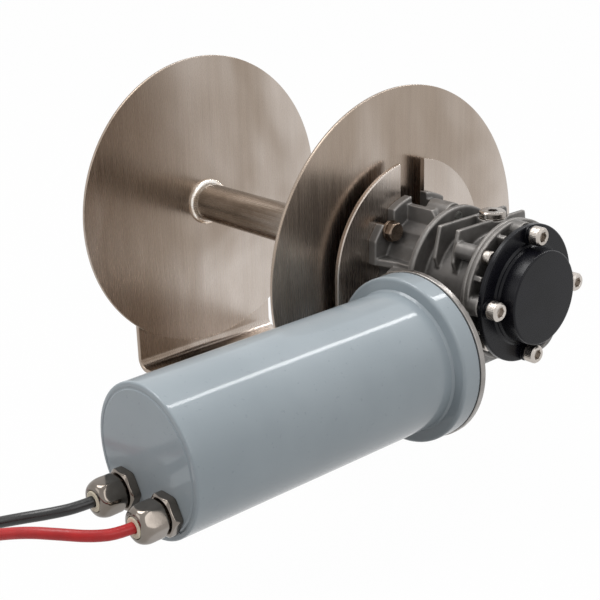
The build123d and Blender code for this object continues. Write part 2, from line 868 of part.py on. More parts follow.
# Input flange between the gearbox and the motor
def input_flange():
    front = -input_ring_front
    back = front + input_ring_thickness
    body = rod_y(front, back, input_ring_radius)
    body = chamfer(body.edges(), 0.5)
    body += rod_y(back, -casing_front, input_face_radius)
    body -= rod_y(front, front + motor_spigot, motor_spigot_radius)
    body -= rod_y(front, -casing_front, front_bearing_radius)
    for piece in along_y_on_circle(rod_y(front, -casing_front, m5 / 2), 4, input_screw_circle / 2, 45):
        body -= piece
    well = rod_y(front, front + motor_spigot + m5, m5 * head_ratio + 0.1)
    for piece in along_y_on_circle(well, 4, input_screw_circle / 2, 45):
        body -= piece
    for piece in along_y_on_circle(rod_y(front, back, m5 / 2), 4, motor_pitch_circle / 2, 45):
        body -= piece
    return at_worm(body)


def input_flange_screws():
    seat = -input_ring_front + motor_spigot + m5
    screw = Pos(0, seat, 0) * facing_minus_y * socket_screw(m5, input_screw_length)
    return [at_worm(s) for s in along_y_on_circle(screw, 4, input_screw_circle / 2, 45)]


def motor_flange_screws():
    seat = -input_ring_front + input_ring_thickness
    length = input_ring_thickness + motor_screw_grip
    screw = Pos(0, seat, 0) * facing_y * socket_screw(m5, length)
    return [at_worm(s) for s in along_y_on_circle(screw, 4, motor_pitch_circle / 2, 45)]


# Worm shaft with its thread, hollow at the motor end
worm_hollow_start = -casing_front - 3
motor_shaft_end = worm_hollow_start + coupling_length


def worm_thread():
    """One turn of trapezoid thread after another, as ruled bands on the worm's root."""
    half = worm_thread_length / 2
    low = worm_root_r - 0.6
    root_half = tooth_thickness / 2 + (worm_pitch_r - low) * flank_slope
    tip_half = tooth_thickness / 2 - module * flank_slope
    helix = Helix(thread_pitch, worm_thread_length, low, direction=(0, 1, 0))
    profile = make_face(
        Polyline(
            [
                (0, -root_half, low), (0, -tip_half, worm_tip_r),
                (0, tip_half, worm_tip_r), (0, root_half, low),
            ],
            close=True,
        )
    )
    start = helix @ 0
    turn = math.degrees(math.atan2(start.X, start.Z))
    profile = Rot(0, turn, 0) * profile
    thread = sweep(profile, path=helix, is_frenet=True)
    # The thread's gap faces the wheel at mid length
    phase = 180 - 360 * half / thread_pitch - turn
    return Rot(0, phase, 0) * Pos(0, -half, 0) * thread


def worm_shaft():
    half = worm_thread_length / 2 + root_run
    front = -front_bearing_start
    journal_r = front_bearing_bore / 2
    back_end = back_bearing_start + back_bearing_width
    shaft = turned_y(
        [
            (worm_hollow_start, 0), (worm_hollow_start, journal_r),
            (front, journal_r), (front, journal_r + 1),
            (-half, worm_root_r), (half, worm_root_r),
            (back_bearing_start, worm_root_r + 1), (back_bearing_start, back_bearing_bore / 2),
            (back_end, back_bearing_bore / 2), (back_end, 0),
        ]
    )
    shaft += worm_thread()
    shaft -= rod_y(worm_hollow_start, motor_shaft_end, coupling_diameter / 2)
    key_room = block(-2, 2, worm_hollow_start, motor_shaft_end, 0, coupling_key_top)
    return at_worm(shaft - key_room)


def coupling_key():
    return at_worm(
        block(-2, 2, worm_hollow_start + 2, motor_shaft_end, coupling_key_bottom, coupling_key_top)
    )


# Motor
def motor_flange():
    front = -input_ring_front
    back = front - motor_flange_thickness
    body = rod_y(back, front, motor_flange_radius)
    body = fillet(body.edges(), 1.6)
    body += rod_y(front, front + motor_spigot, motor_spigot_radius)
    body += rod_y(back - 4, back, motor_bore)
    body -= rod_y(back - 4, front - 1, front_motor_bearing_radius)
    body -= rod_y(front - 1, front + motor_spigot, 10.0)
    hole = rod_y(front - motor_screw_grip, front, m5 / 2)
    for piece in along_y_on_circle(hole, 4, motor_pitch_circle / 2, 45):
        body -= piece
    return at_worm(body)


def motor_body():
    start = -input_ring_front - motor_flange_thickness
    rear = -motor_end + rim_setback
    shell = turned_y(
        [
            (rear, motor_bore), (rear, motor_radius_rear),
            (start - 2, motor_radius_front), (start, motor_radius_front + 1.2),
            (start, motor_bore),
        ]
    )
    rear_edge = [
        e for e in shell.edges().group_by(Axis.Y)[0] if e.radius > motor_radius_rear - 0.1
    ]
    return at_worm(fillet(rear_edge, rear_edge_radius))


def gland_places():
    return [(-gland_spacing / 2, -gland_drop), (gland_spacing / 2, -gland_drop)]


def motor_rear_cap():
    outer = -motor_end
    inner = outer + rear_cap
    body = rod_y(outer, inner, motor_bore)
    body = chamfer(body.edges().group_by(Axis.Y)[0], 0.4)
    end = inner + rear_motor_bearing_width
    body += rod_y(inner, end, rear_motor_bearing_radius + rear_seat_wall)
    body -= rod_y(inner, end, rear_motor_bearing_radius)
    for x, z in gland_places():
        body -= rod_y(outer, end, gland_thread / 2, x, z)
    return at_worm(body)


def motor_bearings(profile):
    shaft_r, journal_r = motor_shaft_diameter / 2, rear_journal_diameter / 2
    front = profile(front_motor_bearing_radius, shaft_r, front_motor_bearing_width)
    rear = profile(rear_motor_bearing_radius, journal_r, rear_motor_bearing_width)
    front = moved(front, -input_ring_front - front_motor_bearing_width - 1)
    rear = moved(rear, -motor_end + rear_cap)
    return [at_worm(turned_y(front)), at_worm(turned_y(rear))]


def armature_shaft():
    rear = -motor_end + rear_cap
    rear_seat = rear + rear_motor_bearing_width
    front_end = -input_ring_front - 1
    front_seat = front_end - front_motor_bearing_width
    core_r = motor_shaft_diameter / 2
    shaft = turned_y(
        [
            (rear, 0), (rear, rear_journal_diameter / 2), (rear_seat, rear_journal_diameter / 2),
            (rear_seat, core_r + 1), (front_seat, core_r + 1), (front_seat, core_r),
            (front_end, core_r), (front_end, coupling_diameter / 2),
            (motor_shaft_end, coupling_diameter / 2), (motor_shaft_end, 0),
        ]
    )
    shaft -= block(-2, 2, worm_hollow_start + 2, motor_shaft_end, coupling_key_bottom, 8)
    return at_worm(shaft)


def armature_core():
    core = Circle(core_radius) - Circle(motor_shaft_diameter / 2 + 1)
    slot = Pos(core_radius - 5, 0) * (Circle(2.6) + Pos(3.5, 0) * Rectangle(7, 2.0))
    for i in range(core_slots):
        core -= Rot(0, 0, 360 / core_slots * i) * slot
    return at_worm(Pos(0, -core_start, 0) * facing_minus_y * extrude(core, core_length))


def armature_windings():
    inner = motor_shaft_diameter / 2 + 1
    front = turned_y(
        [
            (-core_start, inner), (-core_start, core_radius - 2),
            (-core_start + 7, core_radius - 1), (-core_start + 12, core_radius - 5),
            (-core_start + 13, inner + 4), (-core_start + 9, inner),
        ]
    )
    end = -core_start - core_length
    rear = turned_y(
        [
            (end, inner), (end, core_radius - 2), (end - 7, core_radius - 1),
            (end - 12, core_radius - 6), (end - 16, inner + 3), (end - 16, inner),
        ]
    )
    return [at_worm(front), at_worm(rear)]


def commutator():
    ring = Circle(commutator_radius) - Circle(motor_shaft_diameter / 2 + 1)
    for i in range(core_slots):
        ring -= Rot(0, 0, 360 / core_slots * i) * Pos(commutator_radius, 0) * Rectangle(2, 0.6)
    return at_worm(
        Pos(0, -commutator_start, 0) * facing_minus_y * extrude(ring, commutator_length)
    )


def field_magnets():
    inner = core_radius + air_gap
    band = ring_y(-core_start - core_length - 4, -core_start + 4, motor_bore, inner)
    width = motor_bore * 1.25
    pieces = []
    for i in range(magnet_count):
        wedge = block(-width / 2, width / 2, -motor_end, 0, inner * 0.6, motor_bore + 5)
        pieces.append(at_worm(band & (Rot(0, 45 + 90 * i, 0) * wedge)))
    return pieces


def brush_holder():
    plate_back = -commutator_start - commutator_length
    plate_front = plate_back + holder_plate
    body = ring_y(plate_back, plate_front, motor_bore, commutator_radius + 1.5)
    for i in range(4):
        wall = 1.6
        arm = block(
            -brush_width / 2 - wall, brush_width / 2 + wall,
            plate_front, plate_front + brush_height + wall, commutator_radius + 2, brush_arm_end,
        )
        slot = block(
            -brush_width / 2, brush_width / 2,
            plate_front, plate_front + brush_height, commutator_radius, brush_arm_end,
        )
        body += Rot(0, 90 * i, 0) * arm
        body -= Rot(0, 90 * i, 0) * slot
    return at_worm(body)


def brushes():
    front = -commutator_start - commutator_length + holder_plate
    brush = block(
        -brush_width / 2, brush_width / 2, front, front + brush_height,
        commutator_radius - 1, brush_outer,
    )
    brush -= rod_y(front, front + brush_height, commutator_radius + running_clearance)
    return [at_worm(Rot(0, 90 * i, 0) * brush) for i in range(4)]


def brush_springs():
    """A bent strip behind each brush that pushes it onto the commutator."""
    middle = -commutator_start - commutator_length + holder_plate + brush_height / 2
    strip = Pos(0, middle, brush_outer + 3.5) * facing_y * (
        Cylinder(3.5, 5.0) - Cylinder(3.0, 5.0)
    )
    return [at_worm(Rot(0, 90 * i, 0) * strip) for i in range(4)]


# Cable glands
gland_face = -motor_end
mouth = gland_face - gland_hex_height - gland_gap - dome_length


def at_gland(shape, index):
    x, z = gland_places()[index]
    return at_worm(Pos(x, 0, z) * shape)


def gland_bodies():
    pieces = []
    for index in range(2):
        body = rod_y(gland_face, gland_face + rear_cap, gland_thread / 2)
        body += rod_y(gland_face - gland_hex_height - gland_gap - 6, gland_face, gland_neck_radius)
        body += Pos(0, gland_face, 0) * facing_minus_y * hex_prism(gland_hex, gland_hex_height)
        body -= rod_y(mouth, gland_face + rear_cap, seal_radius)
        pieces.append(at_gland(body, index))
    return pieces


def gland_dome_nuts():
    start = gland_face - gland_hex_height - gland_gap
    flats = Pos(0, start, 0) * facing_minus_y * hex_prism(dome_hex, dome_length)
    tip_r = seal_radius + 2.0
    corner = dome_hex / math.sqrt(3)
    dome = turned_y(
        [
            (start, 0), (start, corner - 0.7), (start - 0.7, corner), (start - dome_hex_height, corner),
            (start - dome_hex_height - 1.6, dome_hex / 2), (start - dome_length + 2.4, dome_hex / 2 - 1.1),
            (start - dome_length + 0.6, tip_r + 0.6), (start - dome_length, tip_r - 0.4),
            (start - dome_length, 0),
        ]
    )
    nut = flats & dome
    nut -= rod_y(start - 6, start, gland_neck_radius)
    nut -= rod_y(mouth, start - 6, seal_radius)
    return [at_gland(nut, index) for index in range(2)]


def gland_seals():
    ring = ring_y(mouth - 0.5, mouth + seal_depth, seal_radius, lead_r)
    return [at_gland(ring, index) for index in range(2)]


# Leads: points chosen by hand from inside the gland to the deck, with X from the
# gearbox, Y from the motor's end face and Z from the deck
lead_rest = 3.5
drawn_height = 63.7


def follow_glands(points):
    """The drawn route moved along with the glands and stretched to their height."""
    stretch = (worm_z - gland_drop - lead_rest) / (drawn_height - lead_rest)
    placed = []
    for x, y, z in points:
        placed.append((gear_x + x, gland_face + y, lead_rest + (z - lead_rest) * stretch))
    return placed


black_route = follow_glands(
    [
        (-15.7, -10.1, 63.7), (-15.7, -25.1, 63.7), (-20.2, -36.8, 63.3), (-29.1, -47.8, 61.5),
        (-42.1, -58.1, 57.0), (-59.1, -65.1, 48.5), (-78.6, -68.1, 37.5), (-100.1, -67.6, 25.0),
        (-122.1, -64.1, 13.0), (-146.1, -59.6, 5.4), (-172.1, -56.6, 3.0), (-198.1, -57.1, 3.5),
        (-223.1, -60.6, 3.5),
    ]
)
red_route = follow_glands(
    [
        (15.7, -10.1, 63.7), (15.7, -25.1, 63.7), (11.1, -36.4, 65.0), (2.1, -46.2, 66.4),
        (-10.3, -55.0, 65.8), (-25.7, -64.0, 61.5), (-44.6, -72.2, 52.5), (-66.6, -78.6, 40.0),
        (-90.6, -82.6, 26.0), (-116.1, -84.1, 13.0), (-142.6, -83.1, 5.2), (-169.6, -80.1, 3.0),
        (-196.1, -78.1, 3.5), (-221.1, -80.1, 3.5),
    ]
)


def route_radii(points):
    radii = []
    for a, b, c in zip(points, points[1:], points[2:]):
        before = Vector(*b) - Vector(*a)
        after = Vector(*c) - Vector(*b)
        half_turn = math.radians(before.get_angle(after)) / 2
        radii.append(0.45 * min(before.length, after.length) / math.tan(half_turn))
    return radii


def lead(name, points):
    radii = route_radii(points)
    print(name, "radii", [round(r) for r in radii])
    path = FilletPolyline(*points, radius=radii)
    start = Plane(origin=points[0], z_dir=path % 0)
    tube = sweep(start * Circle(lead_r), path=path)
    print(name, "length", round(path.length), "volume", round(tube.volume / (math.pi * lead_r**2 * path.length), 4))
    return tube


def lead_end(points):
    """The plane at the lead's far end, facing on along the deck."""
    a, b = Vector(*points[-2]), Vector(*points[-1])
    return Plane(origin=points[-1], x_dir=(0, 0, 1), z_dir=(b - a).normalized())


def lead_sleeve(points):
    end = lead_end(points)
    body = Cylinder(lead_r + sleeve_wall, terminal_barrel, align=from_bottom)
    return end * (body - Cylinder(lead_r, terminal_barrel, align=from_bottom))


def ring_terminal(points):
    end = lead_end(points)
    barrel = Cylinder(lead_r, terminal_barrel, align=from_bottom)
    reach = terminal_barrel + terminal_eye_radius + 1
    low = -lead_r - sleeve_wall
    tongue = Pos(low, 0, terminal_barrel) * Box(
        terminal_plate, 2 * lead_r, 9, align=(Align.MIN, Align.CENTER, Align.MIN)
    )
    flat = Pos(low, 0, reach) * Rot(0, 90, 0)
    eye = flat * Cylinder(terminal_eye_radius, terminal_plate, align=from_bottom)
    hole = flat * Cylinder(terminal_hole / 2, terminal_plate, align=from_bottom)
    return end * (barrel + tongue + eye - hole)


# Everything, by the name a person would use
def build():
    return {
        "bracket": bracket(),
        "bearing_housing": bearing_housing(),
        "bearing_bush": bearing_bush(),
        "bearing_bolts": bearing_bolts(),
        "far_drum_disc": drum_disc(far_disc_x),
        "near_drum_disc": drum_disc(near_disc_x - disc_thickness),
        "drum_tube": drum_tube(),
        "weld_beads": weld_beads(),
        "drum_shaft": drum_shaft(),
        "shaft_key": shaft_key(),
        "shaft_end_washers": shaft_end_washers(),
        "shaft_end_bolts": shaft_end_bolts(),
        "worm_wheel_rim": worm_wheel_rim(),
        "output_hub": output_hub(),
        "output_bearing_inner_rings": output_bearings(bearing_inner),
        "output_bearing_outer_rings": output_bearings(bearing_outer),
        "mounting_flange": mounting_flange(),
        "mounting_bolts": mounting_bolts(),
        "mounting_flange_screws": flange_screws(),
        "gearbox_housing": gearbox_housing(),
        "gearbox_side_cover": side_cover(),
        "side_cover_screws": side_cover_screws(),
        "output_cover": output_cover(),
        "output_cover_screws": output_cover_screws(),
        "oil_plug": oil_plug(),
        "oil_seals": oil_seals(),
        "worm_end_cap": worm_end_cap(),
        "worm_shaft": worm_shaft(),
        "worm_bearing_inner_rings": worm_bearings(bearing_inner),
        "worm_bearing_outer_rings": worm_bearings(bearing_outer),
        "coupling_key": coupling_key(),
        "input_flange": input_flange(),
        "input_flange_screws": input_flange_screws(),
        "motor_flange": motor_flange(),
        "motor_flange_screws": motor_flange_screws(),
        "motor_body": motor_body(),
        "motor_rear_cap": motor_rear_cap(),
        "motor_bearing_inner_rings": motor_bearings(bearing_inner),
        "motor_bearing_outer_rings": motor_bearings(bearing_outer),
        "armature_shaft": armature_shaft(),
        "armature_core": armature_core(),
        "armature_windings": armature_windings(),
        "commutator": commutator(),
        "field_magnets": field_magnets(),
        "brush_holder": brush_holder(),
        "brushes": brushes(),
        "brush_springs": brush_springs(),
        "gland_bodies": gland_bodies(),
        "gland_dome_nuts": gland_dome_nuts(),
        "gland_seals": gland_seals(),
        "black_lead": lead("black", black_route),
        "red_lead": lead("red", red_route),
        "black_lead_terminal": ring_terminal(black_route),
        "red_lead_terminal": ring_terminal(red_route),
        "black_lead_sleeve": lead_sleeve(black_route),
        "red_lead_sleeve": lead_sleeve(red_route),
    }


os.makedirs("parts", exist_ok=True)
for node, shape in build().items():
    if isinstance(shape, list):
        shape = Compound(children=[solid for piece in shape for solid in piece.solids()])
    shape.label = node
    export_step(shape, f"parts/{node}.step")
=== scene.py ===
import json
import math

import bmesh
import bpy
from mathutils import Matrix, Vector


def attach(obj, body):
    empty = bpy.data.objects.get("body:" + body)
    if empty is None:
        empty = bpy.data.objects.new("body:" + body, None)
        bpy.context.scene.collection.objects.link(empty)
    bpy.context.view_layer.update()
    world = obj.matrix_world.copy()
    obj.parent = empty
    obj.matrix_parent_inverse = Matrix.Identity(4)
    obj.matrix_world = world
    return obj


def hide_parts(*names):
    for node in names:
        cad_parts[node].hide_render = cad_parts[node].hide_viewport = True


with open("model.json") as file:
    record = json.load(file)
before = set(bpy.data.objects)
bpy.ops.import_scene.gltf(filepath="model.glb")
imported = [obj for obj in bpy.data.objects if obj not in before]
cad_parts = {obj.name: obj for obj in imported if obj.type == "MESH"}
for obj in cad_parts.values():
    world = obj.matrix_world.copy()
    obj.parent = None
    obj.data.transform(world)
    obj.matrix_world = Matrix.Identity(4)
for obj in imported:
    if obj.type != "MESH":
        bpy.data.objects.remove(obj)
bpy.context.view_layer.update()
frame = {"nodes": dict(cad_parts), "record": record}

# An electric drum anchor winch. Metres, in the frame's own axes: X along the drum
# towards the gearbox, the motor points along -Y, Z up from the deck.
mm = 0.001
nodes = frame["nodes"]

# Where the camera stood, and how it was turned
camera_place = Vector((541.5, -476.3, 322.0)) * mm
camera_azimuth = math.radians(48.48)
camera_elevation = math.radians(19.83)
camera_roll = math.radians(-1.5)
camera_lens = 70.72
camera_sensor = 36.0

# The two leads, from inside their glands to the deck
lead_diameter = 5.2 * mm
black_route = [
    (134.4, -232.5, 63.7), (134.4, -247.5, 63.7), (129.9, -259.2, 63.3), (121.0, -270.2, 61.5),
    (108.0, -280.5, 57.0), (91.0, -287.5, 48.5), (71.5, -290.5, 37.5), (50.0, -290.0, 25.0),
    (28.0, -286.5, 13.0), (4.0, -282.0, 5.4), (-22.0, -279.0, 3.0), (-48.0, -279.5, 3.5),
    (-73.0, -283.0, 3.5),
]
red_route = [
    (165.8, -232.5, 63.7), (165.8, -247.5, 63.7), (161.2, -258.8, 65.0), (152.2, -268.6, 66.4),
    (139.8, -277.4, 65.8), (124.4, -286.4, 61.5), (105.5, -294.6, 52.5), (83.5, -301.0, 40.0),
    (59.5, -305.0, 26.0), (34.0, -306.5, 13.0), (7.5, -305.5, 5.2), (-19.5, -302.5, 3.0),
    (-46.0, -300.5, 3.5), (-71.0, -302.5, 3.5),
]

# Where the main parts stand, in millimetres: the gearbox's middle, the drum's axis, and
# the height of the worm and motor
gear_x, axis_z, worm_z = 150.1, 112.0, 82.0
along_x, along_y, along_z = (1, 0, 0), (0, 1, 0), (0, 0, 1)

# Drum discs
disc_radius, disc_bore_radius, disc_thickness = 99.0, 7.0, 2.0
far_disc_x, near_disc_x = -91.7, 91.3

# Motor case, flange and ring: places along Y, and radii
motor_rear, motor_front = -222.0, -61.9
motor_rear_radius, motor_front_radius, motor_bore_radius = 36.8, 37.6, 33.5
flange_front, flange_radius, flange_bore_radius = -49.8, 44.85, 16.0
spigot_front, spigot_radius, shaft_hole_radius = -47.3, 30.0, 10.0
ring_front, ring_radius = -46.5, 45.5
ring_neck_end, ring_neck_radius, ring_bore_radius = -41.0, 31.0, 15.0

# Output cover: places along X from the gearbox's middle
cover_seat, cover_plate_face, cover_cap_inside, cover_cap_face = 31.0, 34.0, 42.5, 45.2
cover_plate_radius, cover_cap_radius, cover_bore_radius = 37.3, 25.3, 22.0

# Oil plug: its flats, its hex well, and its height on a sealing ring
plug_flats, plug_well_flats = 14.4, 5.0
plug_shank_radius, plug_head_radius, plug_head_height, seal_height = 4.0, 7.5, 4.0, 0.8

# Screws: thread sizes, the circles they stand on, and their seats along X
cover_screw_size, side_screw_size, bolt_size, flange_screw_size = 6.0, 4.5, 6.0, 5.0
cover_circle, side_circle, bolt_circle, flange_circle = 32.5, 33.4, 34.0, 37.5
side_screw_seat, bolt_seat, nut_top_seat = 24.8, -43.0, -54.6
bolt_flats = 10.0
flat_washer_height, lock_washer_height = 1.2, 1.4

# Cable glands: how far they stand from the motor's axis, and widths across their flats
gland_aside, gland_below, gland_seat = 15.7, 18.3, -222.4
gland_body_flats, gland_nut_flats = 18.4, 16.4


# Camera
def make_camera():
    """The camera at its place, aimed by its turn and height angles and rolled a little."""
    a, e, r = camera_azimuth, camera_elevation, camera_roll
    back = Vector((math.sin(a) * math.cos(e), -math.cos(a) * math.cos(e), math.sin(e)))
    right = Vector((math.cos(a), math.sin(a), 0))
    up = back.cross(right)
    x_axis = right * math.cos(r) + up * math.sin(r)
    y_axis = up * math.cos(r) - right * math.sin(r)
    turn = Matrix((x_axis, y_axis, back)).transposed().to_4x4()
    data = bpy.data.cameras.new("camera")
    data.lens = camera_lens
    data.sensor_width = camera_sensor
    data.clip_start = 10 * mm
    camera = bpy.data.objects.new("camera", data)
    camera.matrix_world = Matrix.Translation(camera_place) @ turn
    bpy.context.scene.collection.objects.link(camera)
    bpy.context.scene.camera = camera


# Node building blocks
def add_node(tree, kind, links=(), **values):
    """A node with its settings, each input linked to a socket or set to a plain value."""
    made = tree.nodes.new(kind)
    for key, value in values.items():
        setattr(made, key, value)
    for socket, source in dict(links).items():
        if isinstance(source, bpy.types.NodeSocket):
            tree.links.new(source, made.inputs[socket])
        else:
            made.inputs[socket].default_value = source
    return made


def maths_node(tree, operation, *values):
    """The result of one sum on sockets or plain numbers."""
    made = add_node(tree, "ShaderNodeMath", dict(enumerate(values)), operation=operation)
    return made.outputs[0]


class Finish:
    """One material: its shader, and short ways to add the nodes that vary it."""

    def __init__(self, name, colour, roughness, metallic=0.0, **sockets):
        self.material = bpy.data.materials.new(name)
        self.material.use_nodes = True
        self.tree = self.material.node_tree
        self.shader = self.tree.nodes["Principled BSDF"]
        self.set("Base Color", (*colour, 1.0))
        self.set("Roughness", roughness)
        self.set("Metallic", metallic)
        for socket, value in sockets.items():
            self.set(socket.replace("_", " "), value)
        self.place = self.node("ShaderNodeTexCoord").outputs["Object"]

    def set(self, socket, value):
        self.shader.inputs[socket].default_value = value

    def feed(self, socket, source):
        self.tree.links.new(source, self.shader.inputs[socket])

    def node(self, kind, links=(), **values):
        return add_node(self.tree, kind, links, **values)

    def maths(self, operation, a, b):
        return maths_node(self.tree, operation, a, b)

    def noise(self, scale, detail=3.0, rough=0.55, distortion=0.0):
        """Noise with so many patches to the metre: one number, or one for each axis."""
        each_axis = scale if isinstance(scale, tuple) else (scale, scale, scale)
        mapping = self.node("ShaderNodeMapping", {"Vector": self.place, "Scale": each_axis})
        links = {
            "Vector": mapping.outputs["Vector"], "Scale": 1.0, "Detail": detail,
            "Roughness": rough, "Distortion": distortion,
        }
        return self.node("ShaderNodeTexNoise", links).outputs["Fac"]

    def spread(self, value, low, high, out_low=0.0, out_high=1.0):
        """A value's range from low to high, stretched softly to another range."""
        links = {
            "Value": value, "From Min": low, "From Max": high,
            "To Min": out_low, "To Max": out_high,
        }
        made = self.node("ShaderNodeMapRange", links, interpolation_type="SMOOTHSTEP")
        return made.outputs["Result"]

    def vary(self, noise, out_low=0.0, out_high=1.0):
        """The range that most of a noise lies in, stretched to another range."""
        return self.spread(noise, 0.3, 0.7, out_low, out_high)

    def mix(self, factor, a, b, blend="MIX"):
        """Two colours mixed; sockets 6 and 7 and output 2 are a mix node's colours."""
        first, second = ((*c, 1.0) if isinstance(c, tuple) else c for c in (a, b))
        links = {0: factor, 6: first, 7: second}
        made = self.node("ShaderNodeMix", links, data_type="RGBA", blend_type=blend)
        return made.outputs[2]

    def bump(self, height, distance, strength, under=None):
        """Small relief on the surface, laid over another bump where one is given."""
        links = {"Height": height, "Distance": distance, "Strength": strength}
        if under is not None:
            links["Normal"] = under
        made = self.node("ShaderNodeBump", links).outputs["Normal"]
        self.feed("Normal", made)
        return made


# Finishes
def mottled(finish, dark, light, patches):
    """Cloudy change of colour between two shades, with so many patches to the metre."""
    cloud = finish.vary(finish.noise(patches))
    finish.feed("Base Color", finish.mix(cloud, dark, light))


def brushed_stainless(name, lean, dark_from, light_from):
    """Sheet with a vertical brushed grain, a stretched reflection, soft clouds and painted light.
    Lean says how much lighter the painted light makes the clouds for each metre along X, Y and Z."""
    finish = Finish(name, (0.5, 0.44, 0.39), 0.3, metallic=1.0, Anisotropic=0.6)
    # Painted light: the colour grows lighter along the lean, so one side of the sheet looks lit
    # and the other shaded, standing in for reflections
    side = finish.node("ShaderNodeVectorMath", {0: finish.place, 1: lean}, operation="DOT_PRODUCT")
    drift = finish.noise((11, 11, 6), distortion=0.5)
    clouds_and_painted_light = finish.maths("ADD", drift, side.outputs["Value"])
    cloud = finish.spread(clouds_and_painted_light, dark_from, light_from)
    patch = finish.spread(finish.noise((40, 40, 16), rough=0.6), 0.35, 0.7)
    grain = finish.noise((1500, 1500, 16), detail=4.0, rough=0.7)
    wide_grain = finish.noise((260, 260, 5), rough=0.6)
    dark, light, patched = (0.33, 0.265, 0.213), (0.62, 0.555, 0.505), (0.45, 0.375, 0.315)
    colour = finish.mix(cloud, dark, light)
    colour = finish.mix(finish.maths("MULTIPLY", patch, 0.3), colour, patched)
    fine = finish.vary(grain, 0.97, 1.0)
    broad = finish.vary(wide_grain, -0.035, 0.02)
    shade = finish.maths("ADD", fine, broad)
    grey = finish.node("ShaderNodeCombineColor", {"Red": shade, "Green": shade, "Blue": shade})
    colour = finish.mix(1.0, colour, grey.outputs["Color"], "MULTIPLY")
    finish.feed("Base Color", colour)
    finish.feed("Roughness", finish.vary(grain, 0.22, 0.3))
    across = finish.node("ShaderNodeCombineXYZ", {"X": 0.0, "Y": 1.0, "Z": 0.0})
    grain_way = finish.node(
        "ShaderNodeVectorTransform", {"Vector": across.outputs["Vector"]},
        vector_type="VECTOR", convert_from="OBJECT", convert_to="WORLD",
    )
    finish.feed("Tangent", grain_way.outputs["Vector"])
    finish.bump(grain, 0.02 * mm, strength=0.12)
    return finish.material


def drawn_tube():
    """Tube with polishing lines along it."""
    finish = Finish("drawn_tube", (0.55, 0.5, 0.45), 0.24, metallic=1.0)
    lines = finish.noise((12, 900, 900), rough=0.6)
    cloud = finish.vary(finish.noise((30, 60, 60)))
    finish.feed("Base Color", finish.mix(cloud, (0.24, 0.205, 0.172), (0.38, 0.335, 0.295)))
    finish.feed("Roughness", finish.vary(lines, 0.17, 0.3))
    finish.bump(lines, 0.02 * mm, strength=0.3)
    return finish.material


def metal(name, dark, light, roughness, patches=60.0, grain=900.0, relief=0.01):
    """Bare metal: cloudy colour, uneven gloss and a fine grain, its relief in mm."""
    finish = Finish(name, light, roughness, metallic=1.0)
    mottled(finish, dark, light, patches)
    wear = finish.noise(grain / 3, detail=4.0, rough=0.65)
    finish.feed("Roughness", finish.vary(wear, roughness * 0.75, roughness * 1.3))
    finish.bump(finish.noise(grain), relief * mm, strength=0.5)
    return finish.material


def weld_metal():
    """Bright weld with straw heat tints and a grainy skin."""
    finish = Finish("weld_metal", (0.7, 0.66, 0.62), 0.25, metallic=1.0)
    tint = finish.spread(finish.noise(110), 0.35, 0.7)
    finish.feed("Base Color", finish.mix(tint, (0.95, 0.93, 0.9), (0.8, 0.7, 0.6)))
    grit = finish.noise(2200)
    finish.feed("Roughness", finish.vary(grit, 0.16, 0.36))
    finish.bump(grit, 0.03 * mm, strength=0.6)
    return finish.material


def cast_aluminium():
    """Dark die-cast skin: satin, grainy, lighter where edges have been rubbed."""
    finish = Finish("cast_aluminium", (0.1, 0.098, 0.097), 0.48, metallic=0.55)
    cloud = finish.vary(finish.noise(55, detail=4.0, rough=0.6))
    colour = finish.mix(cloud, (0.114, 0.108, 0.102), (0.19, 0.18, 0.171))
    edge = finish.node("ShaderNodeNewGeometry").outputs["Pointiness"]
    rubbed = finish.spread(edge, 0.503, 0.57)
    colour = finish.mix(rubbed, colour, (0.34, 0.32, 0.3))
    finish.feed("Base Color", colour)
    grit = finish.noise(1300, detail=4.0, rough=0.6)
    skin = finish.noise(260)
    finish.feed("Roughness", finish.vary(skin, 0.38, 0.56))
    soft = finish.bump(skin, 0.05 * mm, strength=0.5)
    finish.bump(grit, 0.03 * mm, strength=0.6, under=soft)
    return finish.material


def grey_enamel():
    """Gloss light blue-grey paint: a hard coat with a slight orange peel and soft waves,
    a few specks, and painted shade that darkens the underside."""
    finish = Finish(
        "grey_enamel", (0.285, 0.33, 0.36), 0.42,
        Coat_Weight=0.7, Coat_Roughness=0.085, Coat_IOR=1.4, Specular_IOR_Level=0.2,
    )
    cloud = finish.vary(finish.noise(18))
    speck = finish.spread(finish.noise(420, detail=2.0), 0.66, 0.74)
    colour = finish.mix(cloud, (0.293, 0.337, 0.366), (0.327, 0.372, 0.402))
    # Painted shade: the colour darkens towards the bottom of the case and flange, standing in for
    # the shade under the motor
    height = finish.node("ShaderNodeSeparateXYZ", {"Vector": finish.place}).outputs["Z"]
    painted_underside_shade = finish.spread(height, 35 * mm, 88 * mm, 0.8, 0.0)
    colour = finish.mix(painted_underside_shade, colour, (0.13, 0.15, 0.162))
    colour = finish.mix(finish.maths("MULTIPLY", speck, 0.35), colour, (0.22, 0.255, 0.275))
    finish.feed("Base Color", colour)
    peel = finish.noise(330, detail=2.0)
    wave = finish.noise(28, detail=2.0)
    soft = finish.bump(wave, 0.35 * mm, strength=0.35)
    skin = finish.bump(peel, 0.02 * mm, strength=0.35, under=soft)
    finish.feed("Coat Normal", skin)
    return finish.material


def black_satin():
    """Black anodised cover with a fine satin grain."""
    finish = Finish("black_satin", (0.005, 0.005, 0.007), 0.28, Specular_IOR_Level=0.2)
    mottled(finish, (0.003, 0.003, 0.005), (0.006, 0.006, 0.009), 70.0)
    grit = finish.noise(1600)
    finish.feed("Roughness", finish.vary(grit, 0.22, 0.34))
    finish.bump(grit, 0.015 * mm, strength=0.2)
    return finish.material


def plain(name, dark, light, roughness):
    """Plastic, rubber, carbon or ferrite: no metal, slightly cloudy and grainy."""
    finish = Finish(name, light, roughness)
    mottled(finish, dark, light, 90.0)
    grit = finish.noise(700.0)
    finish.feed("Roughness", finish.vary(grit, roughness * 0.85, roughness * 1.15))
    finish.bump(grit, 0.02 * mm, strength=0.5)
    return finish.material


